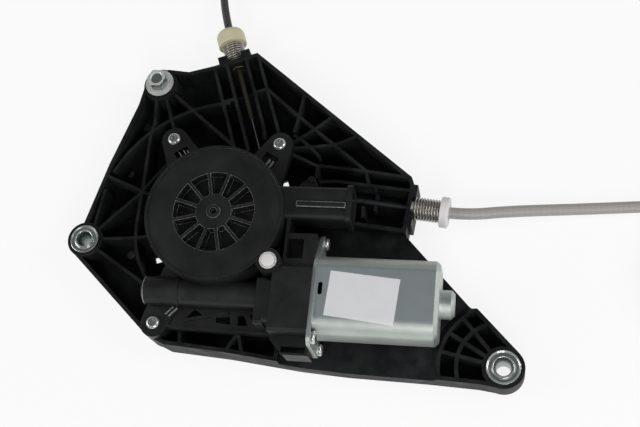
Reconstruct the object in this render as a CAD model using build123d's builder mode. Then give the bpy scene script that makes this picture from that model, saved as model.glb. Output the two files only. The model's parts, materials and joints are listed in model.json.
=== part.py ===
from build123d import *
import os
from math import cos, degrees, pi, radians, sin, sqrt, tan

os.makedirs("parts", exist_ok=True)

# Drive unit of a cable window regulator, in millimetres.
# The origin is the cable drum's axis on the back of the carrier plate, +X runs along the motor, +Z is the motor side.

# Carrier plate: heights above its back
floor = 2.5
rim_wall = 2.2
rib_wall = 1.7
deck = 18.5
plateau = 11.3
foot_top = 15.5
skin = 2.4

# Fixing points of the plate
top_boss = (-50.9, 88.7)
left_boss = (-81.5, -10.2)
foot_boss = (157.2, -69.5)
boss_radius = 10.3
foot_boss_radius = 11.2
foot_reach = 38.0
foot_slope = 3.5
foot_wall = 1.5
foot_ring_gap = 8.5

# Steel bushes and the pre-fitted bolt
bush_radius = 6.0
bolt_bush_bore = 4.2
left_bush_bore = 3.3
foot_bush_bore = 4.0
foot_bush_mouth = 5.85
bush_flange_radius = 8.2
foot_bush_flange_radius = 9.2
bush_flange = 1.2
bush_ring_radius = 5.0
bush_ring = 0.6
bolt_radius = 3.9
bolt_flange_radius = 8.5
bolt_flange = 1.6
bolt_across_flats = 10.0
bolt_head = 7.0

# Cable drum on its pin
axle_radius = 4.0
axle_bottom = 0.8
axle_top = 41.0
axle_clearance = 0.05
seat_gap = 0.3
hub_radius = 7.0
hub_top = 3.7
drum_radius = 29.0
drum_top = 16.4
drum_rim = 2.0
drum_clearance = 1.5
wound_settle = 0.15
groove_pitch = 1.6
groove_count = 6
cable_radius = 0.75
groove_clearance = 0.2
top_groove = 2
right_groove = 4
first_groove_height = 5.8

# Channels that carry the two cables: heading in degrees, and the side of the heading on which the cable passes the axis
top_heading = 109.8
right_heading = -6.1
top_side = -1
right_side = 1
top_end = 102.5
right_end = 101.0
channel_start = 8.0
channel_inner_gap = 5.6
channel_outer_gap = 6.4
channel_bay = 7.6
channel_cross_rib = 77.4
top_clip_depth = 4.5
right_clip_depth = 2.0
right_seat_step = 1.2
top_clip_reach = 9.8
right_clip_reach = 11.7
saddle_place = 81.0
saddle_clearance = 0.1

# Tension springs, ferrules, liners and conduits
spring_radius = 6.5
spring_wire = 0.6
spring_turns = 8.5
spring_length = 15.0
spring_clearance = 0.4
ferrule_stem_radius = 4.2
ferrule_clearance = 0.08
ferrule_radius = 8.6
top_ferrule_flange = 10.4
top_ferrule_rounding = 4.2
right_ferrule_flange = 4.8
right_ferrule_rounding = 1.2
ferrule_socket = 6.5
liner_radius = 1.5
liner_bore = 1.0
top_liner_start = 66.3
right_liner_start = 62.0
top_conduit_radius = 2.4
right_conduit_radius = 3.2
cable_end_gap = 8.0

# Gear unit
ear_top = 24.0
ear_bottom = 18.8
ear_radius = 7.6
ears = [(-35.1, 50.7), (27.3, 49.2), (-31.5, -58.3)]
screw_head_radius = 3.6
screw_head = 2.8
screw_radius = 2.0
screw_clearance = 0.2
screw_reach = 12.0
worm_y = -41.0
worm_z = 28.0
gear_module = 0.97
wheel_teeth = 73
tooth_width = 1.05
wheel_width = 5.0
wheel_rim = 6.0
pressure_angle = 20.0
worm_turns = 5
chamber_clearance = 0.5
chamber_bottom = 21.0
chamber_wall = 1.7
housing_top = 46.0
cover_top = 45.2
cover_seat = 40.6
cover_lip = 0.55
cover_skin = 2.7
cover_inner_bottom = 37.0
spoke_outer_radius = 22.6
spoke_inner_radius = 10.0
spoke_count = 12
spoke_wall = 1.7
spoke_depth = 6.5
collar_radius = 3.8
neck_opening_radius = 10.0
worm_tube_radius = 7.9
worm_bore_radius = 6.9
worm_tube_end = -36.4

# Motor
block_start = 36.0
block_top = 44.3
block_bottom = 12.5
can_start = 59.2
can_end = 123.5
can_width = 42.5
can_height = 29.0
can_corner = 8.5
can_wall = 1.5
flange = 2.0
nub_radius = 7.6
nub_length = 6.0
nub_dome = 1.6
shaft_radius = 2.5
shaft_start = -30.7
shaft_end = 126.5
core_radius = 9.8
core_start = 68.0
core_end = 106.0
core_slots = 8
commutator_radius = 5.6
magnet_gap = 0.5
bearing_length = 6.0
label_thickness = 0.15

# Sizes that follow from the ones above
drum_bottom = hub_top + seat_gap
dog_bottom = drum_top - 4.0
wheel_pitch_radius = gear_module * wheel_teeth / 2
worm_pitch_radius = -worm_y - wheel_pitch_radius
addendum = 0.85 * gear_module
wheel_tip_radius = wheel_pitch_radius + addendum
wheel_root_radius = wheel_pitch_radius - 1.1 * gear_module
worm_tip_radius = worm_pitch_radius + addendum
worm_root_radius = worm_pitch_radius - 1.15 * gear_module
worm_lead = gear_module * pi
chamber_radius = wheel_tip_radius + chamber_clearance
housing_radius = chamber_radius + chamber_wall
cover_radius = chamber_radius + cover_lip
groove_heights = [first_groove_height + groove_pitch * index for index in range(groove_count)]
top_cable_height = first_groove_height + groove_pitch * top_groove
right_cable_height = first_groove_height + groove_pitch * right_groove
drum_rim_radius = drum_radius + drum_rim
drum_pocket_radius = drum_rim_radius + drum_clearance
channel_wall_b = drum_radius - channel_inner_gap
channel_wall_a = channel_wall_b - channel_bay
channel_wall_c = drum_radius + channel_outer_gap
channel_wall_d = channel_wall_c + channel_bay
foot_crown = foot_reach - foot_slope
foot_wall_radius = foot_crown - foot_wall
foot_ring_radius = foot_wall_radius - foot_ring_gap
channel_half_width = ferrule_stem_radius + 0.3
right_seat = right_end + right_seat_step
top_ferrule_start = top_end + spring_length
right_ferrule_start = right_seat + spring_length
top_ferrule_end = top_ferrule_start + top_ferrule_flange
right_ferrule_end = right_ferrule_start + right_ferrule_flange
block_end = can_start - flange


def lane(heading, side, run, across):
    """Point in plan: run along a cable's heading from the drum's axis, across towards the cable's side."""
    angle = radians(heading)
    return (
        run * cos(angle) - side * across * sin(angle),
        run * sin(angle) + side * across * cos(angle),
    )


def top_lane(run, across=drum_radius):
    return lane(top_heading, top_side, run, across)


def right_lane(run, across=drum_radius):
    return lane(right_heading, right_side, run, across)


def polar(radius, angle, centre=(0, 0)):
    return (centre[0] + radius * cos(radians(angle)), centre[1] + radius * sin(radians(angle)))


def cable_plane(heading, side, height, run):
    """Plane across a cable: its origin is on the cable, its normal points away from the drum."""
    x, y = lane(heading, side, run, drum_radius)
    along = Vector(cos(radians(heading)), sin(radians(heading)), 0)
    return Plane(origin=(x, y, height), x_dir=(0, 0, 1), z_dir=along)


def write(part, label):
    part.label = label
    export_step(part, f"parts/{label}.step")


# Carrier plate outline: straight edges between the bosses, which round the corners off

plateau_corner = (38.0, 8.2)
plateau_web_places = (62.0, 88.0, 112.0)
plateau_web_line = -35.0
beyond = 300.0

top_left_corner = top_lane(top_end, channel_wall_a)
top_right_corner = top_lane(top_end, channel_wall_d)
right_upper_corner = (103.0, 34.2)
right_lower_corner = right_lane(right_end, 12.0)
outline_points = [
    (-47.7, 99.0),
    (-34.8, 97.6),
    top_left_corner,
    top_right_corner,
    right_upper_corner,
    right_lane(right_end, 40.5),
    right_lower_corner,
    polar(foot_reach - 2.0, 119.8, foot_boss),
    polar(foot_reach - 3.7, 115.7, foot_boss),
    (165.6, -62.0),
    (157.3, -80.6),
    (145.0, -79.0),
    (117.8, -77.8),
    (75.0, -76.9),
    (49.0, -75.3),
    (9.0, -70.9),
    (-26.0, -68.4),
    (-36.5, -64.1),
    (-88.0, -17.8),
    (-81.7, 8.5),
    (-74.6, 36.8),
    (-62.7, 75.3),
    (-60.6, 88.0),
]

with BuildSketch() as outline:
    with BuildLine():
        Polyline(*outline_points, close=True)
    make_face()
    with Locations(top_boss, left_boss):
        Circle(boss_radius)
    with Locations(foot_boss):
        Circle(foot_boss_radius)
    with Locations(ears[2]):
        Circle(ear_radius)

with BuildSketch() as plateau_zone:
    with BuildLine():
        Polyline(
            plateau_corner,
            right_lower_corner,
            (beyond, right_lower_corner[1]),
            (beyond, -beyond),
            (plateau_corner[0], -beyond),
            close=True,
        )
    make_face()
    with Locations(foot_boss):
        Circle(foot_reach, mode=Mode.SUBTRACT)
    add(outline.sketch, mode=Mode.INTERSECT)

with BuildSketch() as foot_zone:
    with Locations(foot_boss):
        Circle(foot_reach)
    add(outline.sketch, mode=Mode.INTERSECT)

with BuildSketch() as deck_zone:
    add(outline.sketch)
    add(plateau_zone.sketch, mode=Mode.SUBTRACT)
    add(foot_zone.sketch, mode=Mode.SUBTRACT)

# Ribs of the deck, each a run of points in plan
gear_ring = drum_pocket_radius + 1.0
deck_ribs = [
    [(-52.3, 80.0), (-51.0, 63.7), (-52.3, 57.0), (-52.0, 23.0), (-52.3, 0.0)],
    [(-46.4, 80.0), ears[0]],
    [(-42.0, 83.0), (-1.7, 50.9)],
    [(-82.0, 32.2), (-52.1, 20.6), polar(gear_ring, 158.5)],
    [(-52.1, 20.6), (-38.0, 40.0), ears[0]],
    [(-53.0, 19.0), (-76.0, -5.0)],
    [(-74.5, 21.0), (-77.4, -2.0)],
    [(-76.0, -9.6), (-52.0, -8.0), polar(gear_ring, -172)],
    [(-76.0, -14.0), (-42.3, -34.9), (-34.0, -40.0)],
    [top_lane(101, channel_wall_a), top_lane(46, channel_wall_a)],
    [top_lane(101, channel_wall_d), top_lane(50, channel_wall_d), ears[1]],
    [top_lane(101, channel_wall_b), top_lane(42, channel_wall_b)],
    [top_lane(101, channel_wall_c), top_lane(54, channel_wall_c), top_lane(46, channel_wall_c - 1.2)],
    [top_lane(channel_cross_rib, channel_wall_a), top_lane(channel_cross_rib, channel_wall_b)],
    [top_lane(channel_cross_rib, channel_wall_c), top_lane(channel_cross_rib, channel_wall_d)],
    [top_lane(channel_cross_rib, channel_wall_d), (34.3, 70.7), (57.6, 52.4), (77.0, 37.2), right_lane(75.5, 37.5)],
    [(57.0, 72.0), (45.4, 62.1), ears[1]],
    [(74.0, 60.0), (57.4, 52.4), ears[1]],
    [ears[1], (48.2, 39.6), (74.1, 37.3), (101.0, 34.0)],
    [(49.3, 39.8), (49.0, 31.3)],
    [(37.4, 87.5), (35.3, 69.5), (33.3, 59.9)],
    [right_lane(48, 34.8), right_lane(57, 36.6), right_lane(100, 36.9)],
    [right_lane(67, 36.8), right_lane(67, 29)],
    [right_lane(80, 36.8), right_lane(80.5, 29)],
    [right_lane(75, 24), right_lane(76, 17.9)],
    [right_lane(56, 13.2), right_lane(100, 12.9)],
    [polar(gear_ring, -130), (-26.0, -46.0), ears[2]],
    [polar(gear_ring, -72), (14.8, -58.7), (17.8, -70.0)],
    [(14.7, -60.0), (8.8, -70.0)],
    [(-14.0, -44.0), (-19.0, -56.0), (-17.0, -68.5)],
]

with BuildSketch() as deck_pockets:
    offset(deck_zone.sketch, amount=-rim_wall)
    with BuildLine():
        for run in deck_ribs:
            Polyline(*run)
        CenterArc((0, 0), 78.0, 95, 61)
        CenterArc((0, 0), 52.2, 180, 36)
        CenterArc((0, 0), 67.0, 42, 18)
    trace(line_width=rib_wall, mode=Mode.SUBTRACT)
    Circle(drum_pocket_radius + rim_wall, mode=Mode.SUBTRACT)
    with Locations(top_boss, left_boss):
        Circle(boss_radius, mode=Mode.SUBTRACT)
    with Locations(*ears):
        Circle(ear_radius - 1.2, mode=Mode.SUBTRACT)

with BuildSketch() as foot_pockets:
    with Locations(foot_boss):
        Circle(foot_wall_radius)
    offset(foot_zone.sketch, amount=-rim_wall, mode=Mode.INTERSECT)
    with BuildLine():
        CenterArc(foot_boss, foot_ring_radius, 90, 120)
        for angle in (131, 149.5, 168.5):
            Line(polar(foot_boss_radius - 3, angle, foot_boss), polar(foot_reach, angle, foot_boss))
    trace(line_width=rib_wall + 0.3, mode=Mode.SUBTRACT)
    with Locations(foot_boss):
        Circle(foot_boss_radius, mode=Mode.SUBTRACT)

with BuildPart() as carrier_plate:
    with BuildSketch():
        add(deck_zone.sketch_local)
    extrude(amount=deck)
    with BuildSketch():
        add(plateau_zone.sketch_local)
    extrude(amount=plateau)
    with BuildSketch():
        add(foot_zone.sketch_local)
    extrude(amount=foot_top)
    foot_slope = Plane(origin=(*foot_boss, 0), x_dir=(1, 0, 0), z_dir=(0, -1, 0))
    with BuildSketch(foot_slope):
        with BuildLine():
            Polyline(
                (foot_reach, plateau),
                (foot_reach + 1, plateau),
                (foot_reach + 1, foot_top + 1),
                (foot_crown, foot_top + 1),
                (foot_crown, foot_top),
                close=True,
            )
        make_face()
    revolve(axis=Axis(origin=(*foot_boss, 0), direction=(0, 0, 1)), mode=Mode.SUBTRACT)
    # Pockets between the ribs
    with BuildSketch(Plane.XY.offset(floor)):
        add(deck_pockets.sketch_local)
    extrude(amount=deck, mode=Mode.SUBTRACT)
    with BuildSketch(Plane.XY.offset(floor)):
        add(foot_pockets.sketch_local)
    extrude(amount=foot_top, mode=Mode.SUBTRACT)
    # The plateau is a skin on side walls, open at the back
    with BuildSketch():
        offset(plateau_zone.sketch_local, amount=-rim_wall)
        with BuildLine():
            for x in plateau_web_places:
                Line((x, beyond), (x, -beyond))
            Line((-beyond, plateau_web_line), (beyond, plateau_web_line))
        trace(line_width=rib_wall, mode=Mode.SUBTRACT)
    extrude(amount=plateau - skin, mode=Mode.SUBTRACT)
    # Pocket for the cable drum, with the hub for its pin
    with BuildSketch(Plane.XY.offset(floor)):
        Circle(drum_pocket_radius)
    extrude(amount=deck, mode=Mode.SUBTRACT)
    with BuildSketch():
        Circle(hub_radius)
    extrude(amount=hub_top)
    with BuildSketch(Plane.XY.offset(axle_bottom)):
        Circle(axle_radius)
    extrude(amount=deck, mode=Mode.SUBTRACT)
    # Clips outside the end walls, which hold the springs
    for heading, side, end, reach, depth in (
        (top_heading, top_side, top_end, top_clip_reach, top_clip_depth),
        (right_heading, right_side, right_end, right_clip_reach, right_clip_depth),
    ):
        x, y = lane(heading, side, end + depth / 2, drum_radius)
        with BuildSketch():
            with Locations((x, y)):
                Rectangle(depth + 0.2, 2 * reach, rotation=heading)
        extrude(amount=deck)
    # Channel, guide bore and spring seat along each cable
    for heading, side, end, seat, depth, height in (
        (top_heading, top_side, top_end, top_end, top_clip_depth, top_cable_height),
        (right_heading, right_side, right_end, right_seat, right_clip_depth, right_cable_height),
    ):
        channel_length = end - rim_wall - channel_start
        x, y = lane(heading, side, channel_start + channel_length / 2, drum_radius)
        with BuildSketch(Plane.XY.offset(floor)):
            with Locations((x, y)):
                Rectangle(channel_length, 2 * channel_half_width, rotation=heading)
        extrude(amount=deck, mode=Mode.SUBTRACT)
        x, y = lane(heading, side, end + depth, drum_radius)
        with BuildSketch(Plane.XY.offset(height)):
            with Locations((x, y)):
                Rectangle(2 * depth, 2 * (ferrule_stem_radius + ferrule_clearance), rotation=heading)
        extrude(amount=deck, mode=Mode.SUBTRACT)
        with BuildSketch(cable_plane(heading, side, height, end - 2 * rim_wall)):
            Circle(ferrule_stem_radius + ferrule_clearance)
        extrude(amount=depth + 3 * rim_wall, mode=Mode.SUBTRACT)
        with BuildSketch(cable_plane(heading, side, height, seat)):
            Circle(spring_radius + spring_clearance)
        extrude(amount=depth + 1, mode=Mode.SUBTRACT)
        # Saddle under the liner, open at the top
        x, y = lane(heading, side, saddle_place, drum_radius)
        with BuildSketch():
            with Locations((x, y)):
                Rectangle(rib_wall, 2 * channel_half_width + 1, rotation=heading)
        extrude(amount=height + liner_radius)
        with BuildSketch(cable_plane(heading, side, height, saddle_place - rib_wall)):
            Circle(liner_radius + saddle_clearance)
        extrude(amount=2 * rib_wall, mode=Mode.SUBTRACT)
        with BuildSketch(Plane.XY.offset(height)):
            with Locations((x, y)):
                Rectangle(2 * rib_wall, 2 * (liner_radius + saddle_clearance), rotation=heading)
        extrude(amount=deck, mode=Mode.SUBTRACT)
    # Bores for the bushes and the ear screws
    with BuildSketch():
        with Locations(top_boss, left_boss, foot_boss):
            Circle(bush_radius)
    extrude(amount=deck, mode=Mode.SUBTRACT)
    with BuildSketch(Plane.XY.offset(deck - screw_reach)):
        with Locations(*ears):
            Circle(screw_radius)
    extrude(amount=screw_reach, mode=Mode.SUBTRACT)
    # Windows in the floor
    with BuildSketch():
        with Locations((-41.0, -15.2), (27.5, 33.5)):
            Rectangle(5.0, 4.0, rotation=20)
    extrude(amount=deck, mode=Mode.SUBTRACT)

write(carrier_plate.part, "carrier_plate")

# Bushes in the three fixing holes: a plain one for the bolt, one with a raised ring, one with a countersink
with BuildPart() as bush_top_left:
    with BuildSketch():
        with Locations(top_boss):
            Circle(bush_radius)
            Circle(bolt_bush_bore, mode=Mode.SUBTRACT)
    extrude(amount=deck)
    with BuildSketch(Plane.XY.offset(deck)):
        with Locations(top_boss):
            Circle(bush_flange_radius)
            Circle(bolt_bush_bore, mode=Mode.SUBTRACT)
    extrude(amount=bush_flange)

write(bush_top_left.part, "bush_top_left")

with BuildPart() as bush_left:
    with BuildSketch():
        with Locations(left_boss):
            Circle(bush_radius)
            Circle(left_bush_bore, mode=Mode.SUBTRACT)
    extrude(amount=deck)
    with BuildSketch(Plane.XY.offset(deck)):
        with Locations(left_boss):
            Circle(bush_flange_radius)
            Circle(left_bush_bore, mode=Mode.SUBTRACT)
    extrude(amount=bush_flange)
    with BuildSketch(Plane.XY.offset(deck + bush_flange)):
        with Locations(left_boss):
            Circle(bush_ring_radius)
            Circle(left_bush_bore, mode=Mode.SUBTRACT)
    extrude(amount=bush_ring)

write(bush_left.part, "bush_left")

with BuildPart() as bush_right:
    with BuildSketch():
        with Locations(foot_boss):
            Circle(bush_radius)
            Circle(foot_bush_bore, mode=Mode.SUBTRACT)
    extrude(amount=foot_top)
    with BuildSketch(Plane.XY.offset(foot_top)):
        with Locations(foot_boss):
            Circle(foot_bush_flange_radius)
            Circle(foot_bush_bore, mode=Mode.SUBTRACT)
    extrude(amount=bush_flange)
    mouth_edge = bush_right.edges().filter_by(GeomType.CIRCLE).sort_by(Axis.Z)[-2:].sort_by(SortBy.RADIUS)[0]
    chamfer(mouth_edge, foot_bush_mouth - foot_bush_bore)

write(bush_right.part, "bush_right")

# Flanged hexagon bolt
with BuildPart() as mounting_bolt:
    with BuildSketch():
        with Locations(top_boss):
            Circle(bolt_radius)
    extrude(amount=deck + bush_flange)
    with BuildSketch(Plane.XY.offset(deck + bush_flange)):
        with Locations(top_boss):
            Circle(bolt_flange_radius)
    extrude(amount=bolt_flange)
    with BuildSketch(Plane.XY.offset(deck + bush_flange + bolt_flange)):
        with Locations(top_boss):
            RegularPolygon(bolt_across_flats / 2, 6, major_radius=False)
    extrude(amount=bolt_head)

write(mounting_bolt.part, "mounting_bolt")

# Axle pin of wheel and drum
with BuildPart() as axle_pin:
    with BuildSketch(Plane.XY.offset(axle_bottom)):
        Circle(axle_radius)
    extrude(amount=axle_top - axle_bottom)
    chamfer(axle_pin.edges(), 0.5)

write(axle_pin.part, "axle_pin")

# Cable drum: V-shaped ring grooves between two rims, and a square socket for the output dog
dog_square = 13.0

groove_root = drum_radius - sqrt(2) * (cable_radius + groove_clearance)
groove_crest = groove_root + groove_pitch / 2
groove_points = []
for height in groove_heights:
    groove_points.append((groove_crest, height - groove_pitch / 2))
    groove_points.append((groove_root, height))
groove_points.append((groove_crest, groove_heights[-1] + groove_pitch / 2))

with BuildPart() as cable_drum:
    with BuildSketch(Plane.XZ):
        with BuildLine():
            Polyline(
                (axle_radius + axle_clearance, drum_bottom),
                (drum_rim_radius, drum_bottom),
                (drum_rim_radius, groove_heights[0] - groove_pitch / 2),
                *groove_points,
                (drum_rim_radius, groove_heights[-1] + groove_pitch / 2),
                (drum_rim_radius, drum_top),
                (axle_radius + axle_clearance, drum_top),
                close=True,
            )
        make_face()
    revolve(axis=Axis.Z)
    with BuildSketch(Plane.XY.offset(dog_bottom)):
        Rectangle(dog_square, dog_square)
    extrude(amount=drum_top, mode=Mode.SUBTRACT)

write(cable_drum.part, "cable_drum")

# Turns of cable that lie on the drum
with BuildPart() as drum_cable:
    with BuildSketch(Plane.XZ):
        with Locations(*[(drum_radius - wound_settle, groove_heights[index]) for index in (0, 1, 5)]):
            RegularPolygon(cable_radius, 6, major_radius=False)
    revolve(axis=Axis.Z)

write(drum_cable.part, "drum_cable")

# Output dog: the square enters the drum, the three tabs push on the damper
dog_sleeve_radius = 8.0
dog_disc_radius = 26.0
dog_disc_bottom = 22.6
dog_disc_top = 24.2
tab_inner, tab_outer, tab_width, tab_top = 15.0, 23.0, 6.0, 28.4
tab_count = 3
rotor_bore = axle_radius + 0.3

with BuildPart() as output_dog:
    with BuildSketch(Plane.XY.offset(dog_bottom)):
        Rectangle(dog_square, dog_square)
    extrude(amount=drum_top - dog_bottom)
    with BuildSketch(Plane.XY.offset(drum_top)):
        Circle(dog_sleeve_radius)
    extrude(amount=dog_disc_bottom - drum_top)
    with BuildSketch(Plane.XY.offset(dog_disc_bottom)):
        Circle(dog_disc_radius)
    extrude(amount=dog_disc_top - dog_disc_bottom)
    with BuildSketch(Plane.XY.offset(dog_disc_top)):
        with PolarLocations((tab_inner + tab_outer) / 2, tab_count):
            Rectangle(tab_outer - tab_inner, tab_width)
    extrude(amount=tab_top - dog_disc_top)
    with BuildSketch(Plane.XY.offset(dog_bottom)):
        Circle(rotor_bore)
    extrude(amount=housing_top, mode=Mode.SUBTRACT)

write(output_dog.part, "output_dog")

# Worm wheel: toothed rim, web and hub around a pocket for the damper
wheel_hub_radius = 11.0
wheel_rim_inner = 30.0
wheel_web = 2.5
damper_top = 29.5
wheel_hub_top = cover_inner_bottom - seat_gap
tooth_root_half = tooth_width / 2 + (wheel_pitch_radius - wheel_root_radius) * tan(radians(pressure_angle))
tooth_tip_half = tooth_width / 2 - addendum * tan(radians(pressure_angle))

tooth_profile = (
    (wheel_root_radius, -tooth_root_half),
    (wheel_tip_radius, -tooth_tip_half),
    (wheel_tip_radius, tooth_tip_half),
    (wheel_root_radius, tooth_root_half),
)
tooth_points = []
for index in range(wheel_teeth):
    middle = -90 + (index + 0.5) * 360 / wheel_teeth
    for radius, across in tooth_profile:
        tooth_points.append(polar(radius, middle + degrees(across / radius)))

with BuildPart() as worm_wheel:
    with BuildSketch(Plane.XY.offset(worm_z - wheel_width / 2)):
        with BuildLine():
            Polyline(*tooth_points, close=True)
        make_face()
        Circle(wheel_rim_inner, mode=Mode.SUBTRACT)
    extrude(amount=wheel_width)
    with BuildSketch(Plane.XY.offset(worm_z - wheel_rim / 2)):
        Circle(wheel_root_radius)
        Circle(wheel_rim_inner, mode=Mode.SUBTRACT)
    extrude(amount=wheel_rim)
    with BuildSketch(Plane.XY.offset(damper_top)):
        Circle(wheel_rim_inner)
        Circle(rotor_bore, mode=Mode.SUBTRACT)
    extrude(amount=wheel_web)
    with BuildSketch(Plane.XY.offset(dog_disc_top)):
        Circle(wheel_hub_radius)
        Circle(axle_radius + axle_clearance, mode=Mode.SUBTRACT)
    extrude(amount=wheel_hub_top - dog_disc_top)

write(worm_wheel.part, "worm_wheel")

# Rubber damper between the wheel's pocket and the dog's tabs
with BuildPart() as damper:
    with BuildSketch(Plane.XY.offset(dog_disc_top)):
        Circle(wheel_rim_inner)
        Circle(wheel_hub_radius, mode=Mode.SUBTRACT)
        with PolarLocations((tab_inner + tab_outer) / 2, tab_count):
            Rectangle(tab_outer - tab_inner, tab_width, mode=Mode.SUBTRACT)
    extrude(amount=damper_top - dog_disc_top)

write(damper.part, "damper")

# Gear housing: wheel chamber, worm tube, brush block, connector shroud and the three ears
brush_cavity_start = 42.0
brush_cavity_width = 32.0
brush_cavity_height = 22.0
front_bearing_start = brush_cavity_start - bearing_length
vent_centre = (33.2, -26.4)
vent_radius = 4.0
vent_collar_radius = 6.8
vent_bottom = 43.4
vent_top = 46.8
shroud_start, shroud_end = 33.0, 74.0
shroud_y, shroud_z = 9.0, 32.5
shroud_width, shroud_height = 19.0, 17.0
shroud_corner = 3.0
shroud_wall = 1.7
socket_depth = 20.0
lip = 1.2
lip_length = 2.6
ridge_length = 27.0
ridge_width = 1.6
block_high_edge = -27.5
block_low_edge = -63.5
shoulder_start = 40.0
shoulder_high_edge = -9.0
shoulder_top = 40.6
shoulder_low_edge = -73.5
low_shoulder_top = 33.0
foot_low_edge = -70.0
deck_step = 39.0
collar_top = 39.0
web_openings = [
    [(-14.0, -54.5), (-9.6, -48.6), (-4.8, -52.3)],
    [(2.8, -53.2), (3.0, -56.0), (11.3, -56.6), (10.4, -51.9)],
    [(14.8, -51.6), (15.4, -57.0), (20.9, -56.8), (18.2, -50.9)],
    [(21.3, -50.6), (26.0, -50.4), (26.0, -57.2), (24.4, -57.0)],
]

with BuildPart() as gear_housing:
    with BuildSketch(Plane.XY.offset(ear_bottom)):
        Circle(housing_radius)
    extrude(amount=housing_top - ear_bottom)
    # Arms out to the ears
    for ear, root, root_radius in zip(ears, ((-18, 22), (16, 24), (-22, -30)), (14.0, 14.0, 9.0)):
        with BuildSketch(Plane.XY.offset(ear_bottom)):
            with Locations(ear):
                Circle(ear_radius)
            with Locations(root):
                Circle(root_radius)
            make_hull()
        extrude(amount=ear_top - ear_bottom)
    # Worm tube and the saddle under it
    with BuildSketch(Plane.YZ.offset(worm_tube_end)):
        with Locations((worm_y, worm_z)):
            Circle(worm_tube_radius)
    extrude(amount=block_start + 1 - worm_tube_end)
    with BuildSketch(Plane.XY.offset(ear_bottom)):
        with Locations(((worm_tube_end + block_start) / 2 + 2, worm_y)):
            Rectangle(block_start - worm_tube_end - 4, 2 * worm_tube_radius)
    extrude(amount=worm_z - ear_bottom)
    # Seam ring and the collar where the tube meets the block
    with BuildSketch(Plane.YZ.offset(-18.6)):
        with Locations((worm_y, worm_z)):
            Circle(worm_tube_radius + 0.5)
    extrude(amount=1.4)
    for start, width, top in ((block_start - 9, 26.0, collar_top), (block_start - 4, 23.5, collar_top + 1.5)):
        with BuildSketch(Plane.YZ.offset(start)):
            with Locations((worm_y - 5, (ear_bottom + top) / 2)):
                RectangleRounded(width, top - ear_bottom, 2)
        extrude(amount=5)
    # Block of the motor with its two lower shoulders, stepped down beside the plate's deck
    with BuildSketch(Plane.XY.offset(ear_bottom)):
        with Locations(((block_start + block_end) / 2, (block_high_edge + block_low_edge) / 2)):
            Rectangle(block_end - block_start, block_high_edge - block_low_edge)
    extrude(amount=block_top - ear_bottom)
    top_edges = gear_housing.faces().filter_by(Plane.XY).group_by(Axis.Z)[-2].edges()
    chamfer(top_edges.filter_by(Axis.X), 1.5)
    with BuildSketch(Plane.XY.offset(ear_bottom)):
        with Locations(((shoulder_start + block_end) / 2, (block_high_edge + shoulder_high_edge) / 2)):
            Rectangle(block_end - shoulder_start, shoulder_high_edge - block_high_edge)
    extrude(amount=shoulder_top - ear_bottom)
    with BuildSketch(Plane.XY.offset(ear_bottom)):
        with BuildLine():
            Polyline(
                (block_start, block_low_edge),
                (block_end, block_low_edge),
                (block_end, shoulder_low_edge),
                (block_start + 7.5, shoulder_low_edge),
                (block_start, shoulder_low_edge + 7.5),
                close=True,
            )
        make_face()
    extrude(amount=low_shoulder_top - ear_bottom)
    with BuildSketch(Plane.XY.offset(block_bottom)):
        with Locations(((deck_step + block_end) / 2, (shoulder_high_edge + foot_low_edge) / 2)):
            Rectangle(block_end - deck_step, shoulder_high_edge - foot_low_edge)
    extrude(amount=ear_bottom - block_bottom)
    # Open pockets in the shoulders
    with BuildSketch(Plane.XY.offset(shoulder_top)):
        with Locations((shoulder_start + 6.0, -17.6)):
            RectangleRounded(9.0, 11.0, 1.0)
    extrude(amount=-9, mode=Mode.SUBTRACT)
    with BuildSketch(Plane.XY.offset(low_shoulder_top)):
        with Locations((48.8, -70.6)):
            Rectangle(13.0, 3.4)
    extrude(amount=-6, mode=Mode.SUBTRACT)
    # Vent collar
    with BuildSketch(Plane.XY.offset(worm_z)):
        with Locations(vent_centre):
            Circle(vent_collar_radius)
    extrude(amount=vent_top - 1.2 - worm_z)
    # Connector shroud with its mouth lip and ridge, the wall down to the block and the gusset with its peg
    with BuildSketch(Plane.YZ.offset(shroud_start)):
        with Locations((shroud_y, shroud_z)):
            RectangleRounded(shroud_width, shroud_height, shroud_corner)
    extrude(amount=shroud_end - shroud_start)
    with BuildSketch(Plane.YZ.offset(shroud_end - lip_length)):
        with Locations((shroud_y, shroud_z)):
            RectangleRounded(shroud_width + 2 * lip, shroud_height + 2 * lip, shroud_corner)
    extrude(amount=lip_length)
    with BuildSketch(Plane.XY.offset(shroud_z)):
        with Locations((shroud_end - lip_length - ridge_length / 2, shroud_y - 1.8)):
            Rectangle(ridge_length, ridge_width)
    extrude(amount=shroud_height / 2 + 1)
    with BuildSketch(Plane.XY.offset(shroud_z - shroud_height / 2)):
        with Locations((shoulder_start + 0.8, -4)):
            Rectangle(1.7, 14)
    extrude(amount=shroud_height - 1)
    with BuildSketch(Plane.XY.offset(ear_top)):
        with BuildLine():
            Polyline((34, 15), (37.5, 20.5), (46.4, 28.4), (50.2, 28.4), (54.4, 20.5), (54.8, 15), close=True)
        make_face()
    extrude(amount=2.4)
    with BuildSketch(Plane.XY.offset(ear_bottom)):
        with Locations((48.3, 27.4)):
            Circle(1.8)
    extrude(amount=9)
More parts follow.
